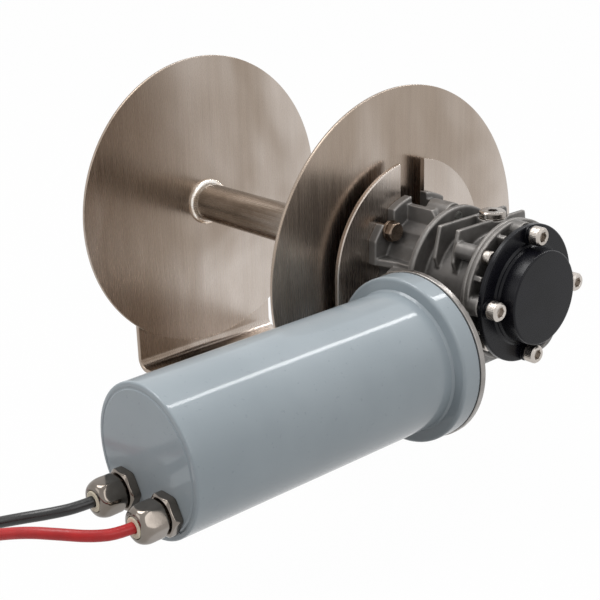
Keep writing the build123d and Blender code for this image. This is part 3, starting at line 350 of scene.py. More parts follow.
def striped(name, dark, light, roughness, pitch):
    """Metal in thin layers or turns, so many millimetres apart along Y."""
    finish = Finish(name, light, roughness, metallic=1.0)
    bands_per_metre_at_scale_one = 3.1831
    links = {
        "Vector": finish.place, "Scale": 1 / (pitch * mm) / bands_per_metre_at_scale_one,
        "Distortion": 0.15, "Detail": 1.0,
    }
    wave = finish.node("ShaderNodeTexWave", links, bands_direction="Y").outputs["Fac"]
    finish.feed("Base Color", finish.mix(wave, dark, light))
    finish.bump(wave, 0.2 * mm, strength=0.6)
    return finish.material


# Bare metals: dark shade, light shade and roughness
metals = {
    "ground_steel": ((0.42, 0.41, 0.4), (0.55, 0.54, 0.53), 0.26),
    "key_steel": ((0.3, 0.3, 0.3), (0.42, 0.42, 0.42), 0.35),
    "stainless_fasteners": ((0.46, 0.42, 0.38), (0.6, 0.555, 0.515), 0.3),
    "weathered_steel": ((0.16, 0.12, 0.09), (0.32, 0.25, 0.2), 0.3),
    "zinc_screws": ((0.5, 0.5, 0.48), (0.62, 0.62, 0.6), 0.32),
    "bronze": ((0.5, 0.3, 0.14), (0.66, 0.42, 0.21), 0.3),
    "bearing_steel": ((0.5, 0.5, 0.5), (0.62, 0.62, 0.62), 0.16),
    "machined_aluminium": ((0.25, 0.235, 0.22), (0.36, 0.34, 0.325), 0.32),
    "plated_plug": ((0.3, 0.27, 0.245), (0.45, 0.41, 0.375), 0.22),
    "spring_steel": ((0.35, 0.35, 0.36), (0.5, 0.5, 0.51), 0.3),
    "tinned_copper": ((0.55, 0.53, 0.5), (0.72, 0.7, 0.67), 0.28),
}

# Plastics, rubbers, carbon and ferrite: dark shade, light shade and roughness
plains = {
    "seal_rubber": ((0.012, 0.012, 0.012), (0.02, 0.02, 0.02), 0.6),
    "ferrite": ((0.03, 0.03, 0.032), (0.06, 0.06, 0.062), 0.7),
    "holder_plastic": ((0.05, 0.035, 0.025), (0.08, 0.055, 0.04), 0.5),
    "carbon": ((0.02, 0.02, 0.02), (0.05, 0.05, 0.05), 0.6),
    "gland_rubber": ((0.66, 0.59, 0.45), (0.78, 0.71, 0.56), 0.6),
    "black_insulation": ((0.01, 0.01, 0.01), (0.018, 0.018, 0.018), 0.32),
    "red_insulation": ((0.37, 0.003, 0.004), (0.46, 0.005, 0.006), 0.42),
    "black_sleeving": ((0.014, 0.014, 0.014), (0.024, 0.024, 0.024), 0.5),
    "red_sleeving": ((0.42, 0.01, 0.01), (0.5, 0.016, 0.014), 0.5),
}

materials = {
    # The leans paint light: the discs lighter towards +Y and downwards, the bracket lighter
    # towards +X and +Y
    "brushed_stainless": brushed_stainless("brushed_stainless", (0.0, 1.5, -1.2), 0.186, 0.546),
    "bracket_stainless": brushed_stainless("bracket_stainless", (0.9, 1.5, 0.0), 0.3, 0.66),
    "drawn_tube": drawn_tube(),
    "weld_metal": weld_metal(),
    "hub_iron": metal("hub_iron", (0.2, 0.195, 0.19), (0.3, 0.29, 0.28), 0.5, relief=0.03),
    "cast_aluminium": cast_aluminium(),
    "black_satin": black_satin(),
    "grey_enamel": grey_enamel(),
    "laminated_steel": striped("laminated_steel", (0.2, 0.2, 0.2), (0.45, 0.45, 0.45), 0.4, 0.5),
    "copper": striped("copper", (0.4, 0.12, 0.05), (0.75, 0.33, 0.17), 0.3, 1.0),
    "nickel_plate": metal(
        "nickel_plate", (0.15, 0.13, 0.11), (0.25, 0.22, 0.195), 0.13, patches=45.0, grain=700.0,
    ),
}
materials.update({name: metal(name, *values) for name, values in metals.items()})
materials.update({name: plain(name, *values) for name, values in plains.items()})


def paint(obj, name):
    """The object's only material becomes the one of that name."""
    obj.data.materials.clear()
    obj.data.materials.append(materials[name])


def paint_frame():
    """Every node of the frame first gets the finish of its own material slot."""
    for part in frame["record"]["subparts"]:
        paint(nodes[part["node"]], part["material_slot"])
    paint(nodes["drum_tube"], "drawn_tube")


def place_piece(obj, body, material, replaced=()):
    """Paints a finished piece, ties it to its body and hides the nodes it stands for."""
    if obj.name not in bpy.context.scene.collection.all_objects:
        bpy.context.scene.collection.objects.link(obj)
    paint(obj, material)
    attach(obj, body)
    if replaced:
        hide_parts(*replaced)


# Pieces turned on a lathe, round or with flats
def rounded(corners, closed=False, steps=4, support=0.2):
    """A profile of (along, radius, edge radius) corners with its edges rounded off, in so
    many steps, and a point a little way along each side to hold the flat parts flat."""
    points = []
    last = len(corners) - 1
    for i, (a, r, edge) in enumerate(corners):
        if edge == 0 or (not closed and i in (0, last)):
            points.append((a, r))
            continue
        here = Vector((a, r))
        before = Vector(corners[i - 1][:2]) - here
        after = Vector(corners[(i + 1) % len(corners)][:2]) - here
        turn = math.pi - before.angle(after)
        reach = edge * math.tan(turn / 2)
        start = here + before.normalized() * reach
        end = here + after.normalized() * reach
        if before.length > reach + support:
            points.append(tuple(start + before.normalized() * support))
        for step in range(steps + 1):
            t = step / steps
            points.append(tuple(start * (1 - t) ** 2 + here * 2 * t * (1 - t) + end * t ** 2))
        if after.length > reach + support:
            points.append(tuple(end + after.normalized() * support))
    return points


def round_rim(point, angle):
    """The plain rim: as far out as the profile says, all round."""
    return point[1]


def hexagon(flats, softness=0.15):
    """A rim cut by six flats, at half the given width across them."""
    def rim(point, angle):
        local = (angle + math.pi / 6) % (math.pi / 3) - math.pi / 6
        side = flats / 2 / math.cos(local)
        gap = point[1] - side
        return (point[1] + side - math.sqrt(gap * gap + softness * softness)) / 2
    return rim


def turned(name, profile, place, axis, count=128, closed=False, rim=round_rim):
    """A mesh turned about an axis: profile in mm of (along, radius), from end to end."""
    on_axis = 1e-6
    axis = Vector(axis)
    side = Vector(along_z) if abs(axis.z) < 0.5 else Vector(along_x)
    other = axis.cross(side)
    place = Vector(place)
    mesh = bmesh.new()
    rows = []
    for point in profile:
        centre = place + axis * point[0]
        if point[1] < on_axis:
            rows.append([mesh.verts.new(centre * mm)])
            continue
        row = []
        for i in range(count):
            angle = 2 * math.pi * i / count
            out = side * math.cos(angle) + other * math.sin(angle)
            row.append(mesh.verts.new((centre + out * rim(point, angle)) * mm))
        rows.append(row)
    pairs = list(zip(rows, rows[1:]))
    if closed:
        pairs.append((rows[-1], rows[0]))
    for low, high in pairs:
        for i in range(count):
            j = (i + 1) % count
            corners = [low[i % len(low)], low[j % len(low)]]
            corners += [high[j % len(high)], high[i % len(high)]]
            corners = list(dict.fromkeys(corners))
            if len(corners) > 2:
                mesh.faces.new(corners)
    bmesh.ops.recalc_face_normals(mesh, faces=mesh.faces)
    return made_object(name, mesh)


def made_object(name, mesh):
    """An object with the finished mesh, shaded smooth."""
    data = bpy.data.meshes.new(name)
    mesh.to_mesh(data)
    mesh.free()
    smooth(data)
    return bpy.data.objects.new(name, data)


def smooth(data, sharp=40.0):
    """Smooth shading, with edges sharper than so many degrees left crisp."""
    data.shade_smooth()
    data.set_sharp_from_angle(angle=math.radians(sharp))


def joined(name, objects):
    """One object with the meshes of several, which are then removed."""
    mesh = bmesh.new()
    for obj in objects:
        mesh.from_mesh(obj.data)
        bpy.data.objects.remove(obj)
    return made_object(name, mesh)


def make_discs():
    """The two drum discs: sheet with its cut edge rounded over."""
    profile = rounded(
        [
            (0, disc_bore_radius, 0), (0, disc_radius, 0.55),
            (disc_thickness, disc_radius, 0.55), (disc_thickness, disc_bore_radius, 0),
        ],
        closed=True, steps=3,
    )
    for name, node, start in (
        ("far_disc_sheet", "far_drum_disc", far_disc_x),
        ("near_disc_sheet", "near_drum_disc", near_disc_x),
    ):
        disc = turned(name, profile, (start, 0, axis_z), along_x, count=256, closed=True)
        place_piece(disc, "drum", "brushed_stainless", [node])


def make_motor_case():
    """The enamelled motor case with its end cap pressed in and painted over, the flange
    casting, and the bare ring between it and the gearbox."""
    place = (gear_x, 0, worm_z)
    cap_inside = motor_rear + 2.5
    groove = motor_rear + 0.25
    cap_face = motor_rear - 0.3
    case = rounded(
        [
            (cap_inside, 0, 0), (cap_inside, motor_bore_radius, 0),
            (motor_front, motor_bore_radius, 0), (motor_front, motor_front_radius + 0.9, 0),
            (motor_front - 1.5, motor_front_radius, 0.8), (motor_rear, motor_rear_radius, 1.1),
            (motor_rear, 34.6, 0.2), (groove, 34.2, 0.2), (groove, 33.6, 0.2),
            (cap_face, 33.1, 0.3), (cap_face, 0, 0),
        ]
    )
    case = turned("motor_case", case, place, along_y, count=192)
    place_piece(
        case, "winch_frame", "grey_enamel", ["motor_body", "motor_rear_cap"],
    )
    flange = rounded(
        [
            (motor_front, flange_bore_radius, 0), (motor_front, flange_radius, 1.9),
            (flange_front, flange_radius, 1.2), (flange_front, spigot_radius, 0.3),
            (spigot_front, spigot_radius, 0.3), (spigot_front, shaft_hole_radius, 0),
            (flange_front - 1.0, shaft_hole_radius, 0),
            (flange_front - 1.0, flange_bore_radius, 0),
        ],
        closed=True, steps=5,
    )
    flange = turned("motor_flange_casting", flange, place, along_y, count=192, closed=True)
    place_piece(flange, "winch_frame", "grey_enamel", ["motor_flange"])
    ring = rounded(
        [
            (flange_front, spigot_radius, 0), (flange_front, ring_radius, 0.45),
            (ring_front, ring_radius, 0.45), (ring_front, ring_neck_radius, 0.4),
            (ring_neck_end, ring_neck_radius, 0), (ring_neck_end, ring_bore_radius, 0),
            (spigot_front, ring_bore_radius, 0), (spigot_front, spigot_radius, 0),
        ],
        closed=True,
    )
    ring = turned("input_ring", ring, place, along_y, count=192, closed=True)
    place_piece(ring, "winch_frame", "machined_aluminium", ["input_flange"])


def make_output_cover():
    """The black turned cover over the gearbox's free side."""
    cover = rounded(
        [
            (cover_seat, cover_bore_radius, 0), (cover_seat, cover_plate_radius, 0.5),
            (cover_plate_face, cover_plate_radius, 0.9), (cover_plate_face, 28.3, 0.25),
            (cover_plate_face + 1.0, 27.4, 0.4), (cover_plate_face + 1.0, 26.3, 0.3),
            (cover_plate_face + 2.2, 25.7, 0.5), (cover_cap_face, cover_cap_radius, 1.1),
            (cover_cap_face, 0, 0), (cover_cap_inside, 0, 0),
            (cover_cap_inside, cover_bore_radius, 0),
        ],
        closed=True, steps=5,
    )
    cover = turned("output_cover_cap", cover, (gear_x, 0, axis_z), along_x, count=192, closed=True)
    place_piece(cover, "winch_frame", "black_satin", ["output_cover"])


def plug_rim(point, angle):
    """Worn flats on the head, a sharper hex in the well, and the shank left round."""
    if point[1] > 4.1:
        return hexagon(plug_flats, 0.8)(point, angle)
    if point[0] > 1.3:
        return hexagon(plug_well_flats, 0.05)((point[0], point[1] + 2.0), angle)
    return point[1]


def make_plug():
    """The low oil plug on its sealing ring, with worn flats and a hex well."""
    place = (gear_x + 1.0, 10.0, axis_z + 33.0)
    head = rounded(
        [
            (-7.0, 0, 0), (-7.0, plug_shank_radius, 0), (seal_height, plug_shank_radius, 0),
            (seal_height, plug_head_radius, 0.2), (3.2, plug_head_radius, 0.2),
            (plug_head_height, 6.5, 0.3), (plug_head_height, 3.3, 0.3),
            (1.4, plug_well_flats / 2, 0), (1.4, 0, 0),
        ],
        steps=3, support=0.1,
    )
    head = turned("head", head, place, along_z, count=96, rim=plug_rim)
    seal = rounded(
        [
            (0, plug_shank_radius, 0), (0, 7.2, 0.2), (seal_height, 7.2, 0.2),
            (seal_height, plug_shank_radius, 0),
        ],
        closed=True, support=0.1,
    )
    seal = turned("seal", seal, place, along_z, count=96, closed=True)
    plug = joined("plug_head", [head, seal])
    place_piece(plug, "winch_frame", "plated_plug", ["oil_plug"])


# Screws, each lying along X with its seat at zero and its head towards +X
def socket_screw(name, size, length):
    """A cylinder-head screw with a knurled side and a hex well."""
    head_radius = size * 0.83
    well = size * 0.83
    well_depth = size * 0.5
    knurl_start = size * 0.1
    knurls = 36
    knurl_depth = 0.09
    outline = rounded(
        [
            (-length, 0, 0), (-length, size / 2 - 0.3, 0), (-length + 0.4, size / 2, 0),
            (0, size / 2, 0), (0, head_radius - 0.1, 0.12), (knurl_start, head_radius, 0.1),
            (size * 0.82, head_radius, 0.1), (size, head_radius - size * 0.14, 0.2),
            (size, well / 2 + 0.5, 0.1),
        ],
        steps=2, support=0.08,
    )
    rows = outline + [(size - 0.3, well / 2 + 0.1), (well_depth, well / 2), (size * 0.42, 0)]
    flats = hexagon(well, 0.03)

    def rim(point, angle):
        along, radius = point[0], point[1]
        if along >= well_depth - 0.01 and radius <= well / 2 + 0.11:
            return flats((along, radius + well), angle)
        if knurl_start < along < size * 0.83 and radius > head_radius - 0.02:
            return radius - knurl_depth * (0.5 + 0.5 * math.cos(knurls * angle))
        return radius

    return turned(name, rows, (0, 0, 0), along_x, count=144, rim=rim)


def hex_bolt(name, size, across, length, height):
    """A hex bolt with a chamfered head on a thick washer that lies on the seat."""
    washer_height = 1.6
    washer_radius = size
    top = washer_height + height
    bolt = rounded(
        [
            (-length, 0, 0), (-length, size / 2, 0), (washer_height, size / 2, 0),
            (washer_height, across * 0.6, 0.15),
            (washer_height + height * 0.72, across * 0.6, 0.1), (top, across * 0.46, 0.35),
            (top, 0, 0),
        ],
        steps=3, support=0.1,
    )
    flats = hexagon(across, 0.12)

    def rim(point, angle):
        if point[0] < washer_height or point[1] < across * 0.4:
            return point[1]
        return flats(point, angle)

    bolt = turned("bolt", bolt, (0, 0, 0), along_x, count=96, rim=rim)
    return joined(name, [bolt, flat_washer(0, washer_height, washer_radius, size / 2)])


def hex_nut(name, size, across, height):
    """A hex nut with both faces chamfered, its lower face on the seat."""
    profile = rounded(
        [
            (0, size / 2, 0.2), (0, across * 0.52, 0.2), (height * 0.2, across * 0.6, 0.1),
            (height * 0.8, across * 0.6, 0.1), (height, across * 0.52, 0.2),
            (height, size / 2, 0.2),
        ],
        closed=True, steps=2, support=0.08,
    )
    flats = hexagon(across, 0.12)

    def rim(point, angle):
        return point[1] if point[1] < across * 0.4 else flats(point, angle)

    return turned(name, profile, (0, 0, 0), along_x, count=96, closed=True, rim=rim)


def flat_washer(start, height, radius, bore):
    """A flat washer whose lower face is so far along."""
    profile = rounded(
        [
            (start, bore, 0.1), (start, radius, 0.2), (start + height, radius, 0.25),
            (start + height, bore, 0.1),
        ],
        closed=True, steps=2, support=0.08,
    )
    return turned("washer", profile, (0, 0, 0), along_x, count=72, closed=True)


def lock_washer(start, height, radius, bore):
    """A split spring washer, one end sprung up a little from the other."""
    spring = 0.35
    gap_degrees = 12
    bottom, top = start + 0.2, start + height - 0.2
    section = ((bottom, bore), (bottom, radius), (top, radius), (top, bore))
    mesh = bmesh.new()
    rows = []
    count = 60
    for i in range(count + 1):
        angle = math.radians(gap_degrees / 2 + (360 - gap_degrees) * i / count)
        lift = spring * (i / count - 0.5)
        row = []
        for along, out in section:
            point = Vector((along + lift, math.sin(angle) * out, math.cos(angle) * out))
            row.append(mesh.verts.new(point * mm))
        rows.append(row)
    for low, high in zip(rows, rows[1:]):
        for i in range(4):
            j = (i + 1) % 4
            mesh.faces.new((low[i], low[j], high[j], high[i]))
    mesh.faces.new(rows[0])
    mesh.faces.new(reversed(rows[-1]))
    bmesh.ops.recalc_face_normals(mesh, faces=mesh.faces)
    return made_object("lock", mesh)


# Geometry Nodes: screws set round a circle, and rippled weld beads. The turn stands a
# flat circle upright, so that it lies about the X axis.
upright_turn = (0.0, math.pi / 2, 0.0)


def new_tree(name, sizes):
    """A Geometry Nodes tree with named inputs and one Geometry output."""
    tree = bpy.data.node_groups.new(name, "GeometryNodeTree")
    for label, kind, value in sizes:
        socket = tree.interface.new_socket(label, in_out="INPUT", socket_type="NodeSocket" + kind)
        if value is not None:
            socket.default_value = value
    tree.interface.new_socket("Geometry", in_out="OUTPUT", socket_type="NodeSocketGeometry")
    return tree, tree.nodes.new("NodeGroupInput"), tree.nodes.new("NodeGroupOutput")


def finish_tree(tree, start, end, geometry, turn):
    """The last steps of both trees: turn, place, make real and paint."""
    placed = add_node(
        tree, "GeometryNodeTransform",
        {"Geometry": geometry, "Rotation": turn, "Translation": start.outputs["Place"]},
    )
    real = add_node(tree, "GeometryNodeRealizeInstances", {"Geometry": placed.outputs["Geometry"]})
    painted = add_node(
        tree, "GeometryNodeSetMaterial",
        {"Geometry": real.outputs["Geometry"], "Material": start.outputs["Finish"]},
    )
    tree.links.new(painted.outputs["Geometry"], end.inputs["Geometry"])
    return tree


def screw_circle_tree():
    """Copies of one screw on a circle about the X axis, then turned and placed."""
    tree, start, end = new_tree(
        "screw_circle",
        [
            ("Count", "Int", 4), ("Radius", "Float", 0.03), ("First Angle", "Float", 0.0),
            ("Turn", "Vector", (0, 0, 0)), ("Place", "Vector", (0, 0, 0)),
            ("Screw", "Object", None), ("Finish", "Material", None),
        ],
    )
    circle = add_node(
        tree, "GeometryNodeMeshCircle",
        {"Vertices": start.outputs["Count"], "Radius": start.outputs["Radius"]}, fill_type="NONE",
    )
    spin = add_node(tree, "ShaderNodeCombineXYZ", {"Z": start.outputs["First Angle"]})
    spun = add_node(
        tree, "GeometryNodeTransform",
        {"Geometry": circle.outputs["Mesh"], "Rotation": spin.outputs["Vector"]},
    )
    upright = add_node(
        tree, "GeometryNodeTransform",
        {"Geometry": spun.outputs["Geometry"], "Rotation": upright_turn},
    )
    screw = add_node(tree, "GeometryNodeObjectInfo", {"Object": start.outputs["Screw"]})
    copies = add_node(
        tree, "GeometryNodeInstanceOnPoints",
        {"Points": upright.outputs["Geometry"], "Instance": screw.outputs["Geometry"]},
    )
    return finish_tree(tree, start, end, copies.outputs["Instances"], start.outputs["Turn"])


def weld_bead_tree():
    """A bead laid round a tube in overlapping ripples, about the X axis."""
    tree, start, end = new_tree(
        "weld_bead",
        [
            ("Radius", "Float", 0.0137), ("Bead", "Float", 0.002), ("Ripples", "Int", 70),
            ("Ripple Height", "Float", 0.0002), ("Place", "Vector", (0, 0, 0)),
            ("Finish", "Material", None),
        ],
    )
    path = add_node(
        tree, "GeometryNodeCurvePrimitiveCircle",
        {"Resolution": 840, "Radius": start.outputs["Radius"]}, mode="RADIUS",
    )
    outline = add_node(
        tree, "GeometryNodeCurvePrimitiveCircle",
        {"Resolution": 12, "Radius": start.outputs["Bead"]}, mode="RADIUS",
    )
    bead = add_node(
        tree, "GeometryNodeCurveToMesh",
        {"Curve": path.outputs["Curve"], "Profile Curve": outline.outputs["Curve"]},
    )
    place = add_node(tree, "GeometryNodeInputPosition")
    parts = add_node(tree, "ShaderNodeSeparateXYZ", {"Vector": place.outputs["Position"]})
    angle = maths_node(tree, "ARCTAN2", parts.outputs["Y"], parts.outputs["X"])
    share = maths_node(tree, "DIVIDE", angle, 2 * math.pi)
    leant_ripples_per_metre = 160.0
    even = maths_node(tree, "MULTIPLY", share, start.outputs["Ripples"])
    lean = maths_node(tree, "MULTIPLY", parts.outputs["Z"], leant_ripples_per_metre)
    count = maths_node(tree, "ADD", even, lean)
    tooth = maths_node(tree, "FRACT", count)
    soft = maths_node(tree, "POWER", tooth, 0.6)
    height = maths_node(tree, "MULTIPLY", soft, start.outputs["Ripple Height"])
    normal = add_node(tree, "GeometryNodeInputNormal")
    push = add_node(
        tree, "ShaderNodeVectorMath", {0: normal.outputs["Normal"], "Scale": height},
        operation="SCALE",
    )
    rippled = add_node(
        tree, "GeometryNodeSetPosition",
        {"Geometry": bead.outputs["Mesh"], "Offset": push.outputs["Vector"]},
    )
    return finish_tree(tree, start, end, rippled.outputs["Geometry"], upright_turn)


def grown(name, tree, **sizes):
    """A plain mesh object grown by a tree from the given sizes."""
    holder = bpy.data.objects.new(name + "_holder", bpy.data.meshes.new(name + "_holder"))
    bpy.context.scene.collection.objects.link(holder)
    modifier = holder.modifiers.new("grow", "NODES")
    modifier.node_group = tree
    for socket in tree.interface.items_tree:
        label = socket.name.replace(" ", "_").lower()
        if socket.in_out == "INPUT" and label in sizes:
            modifier[socket.identifier] = sizes[label]
    made = baked(name, holder)
    smooth(made.data)
    return made


def baked(name, holder):
    """A plain object with what a holder's modifiers make; the holder is then removed."""
    bpy.context.view_layer.update()
    graph = bpy.context.evaluated_depsgraph_get()
    data = bpy.data.meshes.new_from_object(holder.evaluated_get(graph))
    bpy.data.objects.remove(holder)
    return bpy.data.objects.new(name, data)


def screw_set(name, tree, screw, radius, spin, place, slot, material, replaced, turn=(0, 0, 0)):
    """Four copies of one screw round a circle, the set turned by so many degrees about
    its own axis, as one piece. The single screw is removed afterwards."""
    bpy.context.scene.collection.objects.link(screw)
    made = grown(
        name, tree, count=4, radius=radius * mm, first_angle=math.radians(spin),
        turn=turn, place=tuple(v * mm for v in place), screw=screw, finish=materials[material],
    )
    bpy.data.objects.remove(screw)
    place_piece(made, "winch_frame", material, replaced)


def make_screws():
    """The cover's screws on their washers, the side cover's, the lobes' and the flange's."""
    tree = screw_circle_tree()
    gear = (gear_x, 0, axis_z)
    stainless = ("stainless_fasteners", "stainless_fasteners")
    lock_seat = cover_plate_face + flat_washer_height
    washers = joined(
        "cover_washer",
        [
            flat_washer(cover_plate_face, flat_washer_height, radius=5.2, bore=3.0),
            lock_washer(lock_seat, lock_washer_height, radius=4.8, bore=3.1),
        ],
    )
    screw_set(
        "cover_washers", tree, washers, cover_circle, 0, gear, "black_satin", "black_satin", [],
    )
    cover_screw = socket_screw("cover_screw", cover_screw_size, length=8.6)
    moved(cover_screw, lock_seat + lock_washer_height)
    screw_set(
        "cover_screws", tree, cover_screw, cover_circle, 0, gear, *stainless,
        ["output_cover_screws"],
    )
    side_screw = moved(socket_screw("side_screw", side_screw_size, length=9.5), side_screw_seat)
    screw_set(
        "casing_screws", tree, side_screw, side_circle, 45, gear, *stainless,
        ["side_cover_screws"],
    )
    bolt = joined(
        "lobe_bolt",
        [
            moved(hex_bolt("head", bolt_size, bolt_flats, length=11.6, height=4.0), bolt_seat),
            moved(hex_nut("nut", bolt_size, bolt_flats, height=3.0), nut_top_seat),
        ],
    )
    screw_set(
        "lobe_bolts", tree, bolt, bolt_circle, 45, gear, "stainless_fasteners",
        "weathered_steel", ["mounting_bolts"],
    )
    flange_screw = socket_screw("flange_screw", flange_screw_size, length=11.3)
    screw_set(
        "flange_ring_screws", tree, flange_screw, flange_circle, 45,
        (gear_x, ring_front, worm_z), "zinc_screws", "zinc_screws", ["motor_flange_screws"],
        turn=(0, 0, math.pi / 2),
    )


def moved(obj, along):
    """Shifts a screw's mesh along X by so many millimetres."""
    obj.data.transform(Matrix.Translation((along * mm, 0, 0)))
    return obj


def make_welds():
    """Two beads round the drum's tube and two round its shaft, as one piece."""
    tree = weld_bead_tree()
    tube_weld = {"radius": 13.4 * mm, "bead": 2.1 * mm, "ripples": 54}
    shaft_weld = {"radius": 7.6 * mm, "bead": 1.6 * mm, "ripples": 34}
    beads = [
        grown(
            "bead", tree, **weld, ripple_height=0.22 * mm, place=(x * mm, 0.0, axis_z * mm),
            finish=materials["weld_metal"],
        )
        for x, weld in (
            (-89.0, tube_weld), (90.6, tube_weld), (-92.3, shaft_weld), (93.9, shaft_weld),
        )
    ]
    welds = joined("rippled_welds", beads)
    place_piece(welds, "drum", "weld_metal", ["weld_beads"])


def make_glands():
    """Two nickel-plated cable glands: a hex body and a nut whose flats run out in a dome."""
    bodies, nuts, seals = [], [], []
    dome_start, dome_length = -12.4, 6.1
    dome_foot, dome_rise = 6.1, 3.15
    dome_steps = 12
    for x in (-gland_aside, gland_aside):
        place = (gear_x + x, gland_seat, worm_z - gland_below)
        body = rounded(
            [
                (8.0, 4.4, 0), (8.0, 6.0, 0), (0, 6.0, 0), (0, 10.3, 0.3), (-3.9, 10.3, 0.25),
                (-5.0, 8.9, 0.4), (-5.0, 6.4, 0.2), (-10.0, 6.4, 0), (-10.0, 4.4, 0),
            ],
            closed=True, steps=3,
        )
        body = turned("body", body, place, along_y, count=96, closed=True, rim=gland_body_rim)
        bodies.append(body)
        nut = [(-6.0, 6.6), (-6.0, 8.3), (-6.15, 8.7), (-6.5, 9.0), (-6.9, 9.2)]
        nut.append((dome_start, dome_foot + dome_rise))
        for step in range(dome_steps + 1):
            t = math.radians(90 * step / dome_steps)
            along = dome_start - dome_length * math.sin(t)
            nut.append((along, dome_foot + dome_rise * math.cos(t)))
        nut += [(-18.6, 5.9), (-18.6, 5.4), (-18.2, 5.0), (-12.0, 5.0), (-11.0, 6.6)]
        nuts.append(turned("nut", nut, place, along_y, count=120, closed=True, rim=gland_nut_rim))
        seal = rounded(
            [(-9.0, 2.6, 0), (-9.0, 4.9, 0), (-18.9, 4.9, 0.5), (-18.9, 2.6, 0.3)],
            closed=True, steps=3,
        )
        seals.append(turned("seal", seal, place, along_y, count=64, closed=True))
    for name, parts, finish, node in (
        ("gland_hex_bodies", bodies, "nickel_plate", "gland_bodies"),
        ("gland_nuts", nuts, "nickel_plate", "gland_dome_nuts"),
        ("gland_sleeves", seals, "gland_rubber", "gland_seals"),
    ):
        place_piece(joined(name, parts), "winch_frame", finish, [node])


def gland_body_rim(point, angle):
    """Flats on the hex, and the thread left round."""
    if point[1] < 6.7:
        return point[1]
    return hexagon(gland_body_flats, 0.3)(point, angle)


def gland_nut_rim(point, angle):
    """Flats that run out in the dome, and the mouth left round."""
    if point[1] < 6.65:
        return point[1]
    return hexagon(gland_nut_flats, 0.35)(point, angle)


# Pieces made from the frame's own shapes
def welded_copy(node, flat_angle=None):
    """A holder with the node's own mesh, its split corners joined and, where an angle is
    given, faces flatter than that made one."""
    data = nodes[node].data.copy()
    mesh = bmesh.new()
    mesh.from_mesh(data)
    bmesh.ops.remove_doubles(mesh, verts=mesh.verts, dist=0.002 * mm)
    if flat_angle is not None:
        bmesh.ops.dissolve_limit(
            mesh, angle_limit=flat_angle, use_dissolve_boundaries=False, verts=mesh.verts,
            edges=mesh.edges,
        )
    mesh.to_mesh(data)
    mesh.free()
    holder = bpy.data.objects.new(node + "_holder", data)
    bpy.context.scene.collection.objects.link(holder)
    return holder


def make_castings():
    """The four castings with their edges worn soft, and half of their triangles kept."""
    for node, name, voxel, passes in (
        ("gearbox_housing", "gearbox_casting", 0.6 * mm, 3),
        ("gearbox_side_cover", "side_cover_casting", 0.5 * mm, 2),
        ("mounting_flange", "flange_casting", 0.55 * mm, 3),
        ("bearing_housing", "far_bearing_casting", 0.5 * mm, 3),
    ):
        holder = welded_copy(node)
        remesh = holder.modifiers.new("skin", "REMESH")
        remesh.mode = "VOXEL"
        remesh.voxel_size = voxel
        remesh.use_smooth_shade = True
        soften = holder.modifiers.new("soften", "SMOOTH")
        soften.factor = 0.5
        soften.iterations = passes
        thin = holder.modifiers.new("thin", "DECIMATE")
        thin.ratio = 0.5
        casting = baked(name, holder)
        casting.data.shade_smooth()
        place_piece(casting, "winch_frame", "cast_aluminium", [node])


def make_bracket():
    """The bent sheet bracket with its cut edges broken."""
    holder = welded_copy("bracket", math.radians(0.8))
    smooth(holder.data, 30.0)
    edge = holder.modifiers.new("edge", "BEVEL")
    edge.width = 0.3 * mm
    edge.segments = 3
    edge.limit_method = "ANGLE"
    edge.angle_limit = math.radians(35)
    edge.harden_normals = True
    sheet = baked("bent_sheet", holder)
    place_piece(sheet, "winch_frame", "bracket_stainless", ["bracket"])


# Leads
def make_lead(node, route, slot):
    """A lead as a round curve along its route."""
    curve = bpy.data.curves.new(node + "_flex", "CURVE")
    curve.dimensions = "3D"
    curve.bevel_depth = lead_diameter / 2
    curve.bevel_resolution = 8
    curve.resolution_u = 12
    curve.use_fill_caps = True
    spline = curve.splines.new("NURBS")
    spline.points.add(len(route) - 1)
    for point, (x, y, z) in zip(spline.points, route):
        point.co = (x * mm, y * mm, z * mm, 1.0)
    spline.order_u = 3
    spline.use_endpoint_u = True
    lead = bpy.data.objects.new(node + "_flex", curve)
    place_piece(lead, "winch_frame", slot, [node])
    x, y, z = route[0]


# Floor, lights and background
def is_seen(tree):
    """1 for rays from the camera or off a mirror or glass, 0 for soft light."""
    rays = tree.nodes.new("ShaderNodeLightPath").outputs
    mirrored = maths_node(tree, "MAXIMUM", rays["Is Camera Ray"], rays["Is Glossy Ray"])
    return maths_node(tree, "MAXIMUM", mirrored, rays["Is Transmission Ray"])


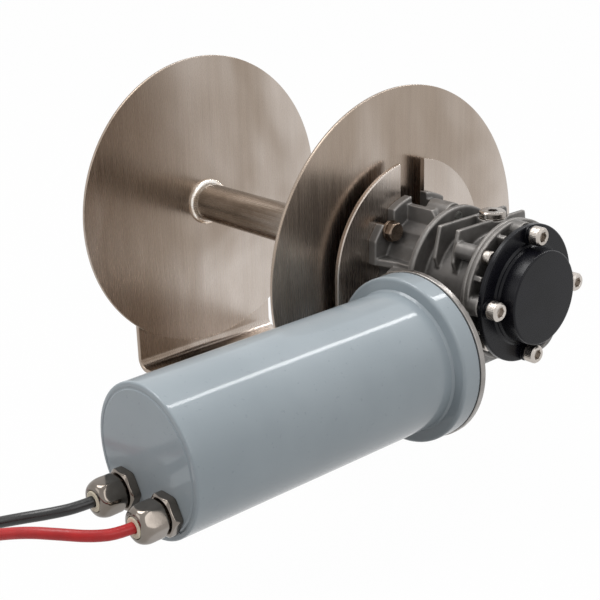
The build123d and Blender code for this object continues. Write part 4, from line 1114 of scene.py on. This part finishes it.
def make_floor():
    """A pale floor that takes shadows and looks almost as white as the background."""
    size = 6.0
    depth = -0.5 * mm
    seen_whiteness = 0.985
    mesh = bpy.data.meshes.new("floor")
    corners = [(-size, -size), (size, -size), (size, size), (-size, size)]
    mesh.from_pydata([(x, y, depth) for x, y in corners], [], [(0, 1, 2, 3)])
    floor = bpy.data.objects.new("floor", mesh)
    bpy.context.scene.collection.objects.link(floor)
    material = bpy.data.materials.new("floor")
    material.use_nodes = True
    tree = material.node_tree
    shader = tree.nodes["Principled BSDF"]
    shader.inputs["Base Color"].default_value = (0.5, 0.5, 0.5, 1)
    shader.inputs["Roughness"].default_value = 0.9
    glow = tree.nodes.new("ShaderNodeEmission")
    share = maths_node(tree, "MULTIPLY", is_seen(tree), seen_whiteness)
    mix = add_node(
        tree, "ShaderNodeMixShader", {0: share, 1: shader.outputs[0], 2: glow.outputs[0]},
    )
    tree.links.new(mix.outputs[0], tree.nodes["Material Output"].inputs["Surface"])
    mesh.materials.append(material)


def make_world():
    """White where it is seen, and a softer white where it only lights."""
    white = (1, 1, 1, 1)
    soft_strength = 0.42
    world = bpy.data.worlds.new("studio")
    bpy.context.scene.world = world
    world.use_nodes = True
    tree = world.node_tree
    seen = tree.nodes["Background"]
    seen.inputs["Color"].default_value = white
    seen.inputs["Strength"].default_value = 1.0
    soft = add_node(tree, "ShaderNodeBackground", {"Color": white, "Strength": soft_strength})
    mix = add_node(
        tree, "ShaderNodeMixShader",
        {0: is_seen(tree), 1: soft.outputs[0], 2: seen.outputs[0]},
    )
    tree.links.new(mix.outputs[0], tree.nodes["World Output"].inputs["Surface"])


def area_light(name, place, target, width, height, watts):
    """A softbox at one place that faces another, both in metres."""
    data = bpy.data.lights.new(name, "AREA")
    data.shape = "RECTANGLE"
    data.size = width
    data.size_y = height
    data.energy = watts
    light = bpy.data.objects.new(name, data)
    light.location = place
    way = Vector(target) - Vector(place)
    light.rotation_euler = way.to_track_quat("-Z", "Y").to_euler()
    bpy.context.scene.collection.objects.link(light)


def make_lights():
    """Three softboxes on the whole winch, and a strip for the line along the motor."""
    middle, motor = (0.06, -0.06, 0.1), (0.17, -0.17, 0.11)
    area_light("key", (-0.5, -0.35, 1.7), middle, width=1.0, height=0.8, watts=17)
    area_light("fill", (1.3, 0.1, 0.9), middle, width=0.8, height=0.8, watts=4)
    area_light("front", (-0.3, -1.5, 0.9), middle, width=0.8, height=0.8, watts=2.5)
    area_light("strip", (0.12, 0.68, 1.3), motor, width=0.11, height=1.2, watts=6.2)


make_camera()
paint_frame()
make_discs()
make_motor_case()
make_output_cover()
make_plug()
make_screws()
make_welds()
make_glands()
make_castings()
make_bracket()
make_lead("black_lead", black_route, "black_insulation")
make_lead("red_lead", red_route, "red_insulation")
make_floor()
make_world()
make_lights()
bpy.context.scene.view_settings.view_transform = "Standard"
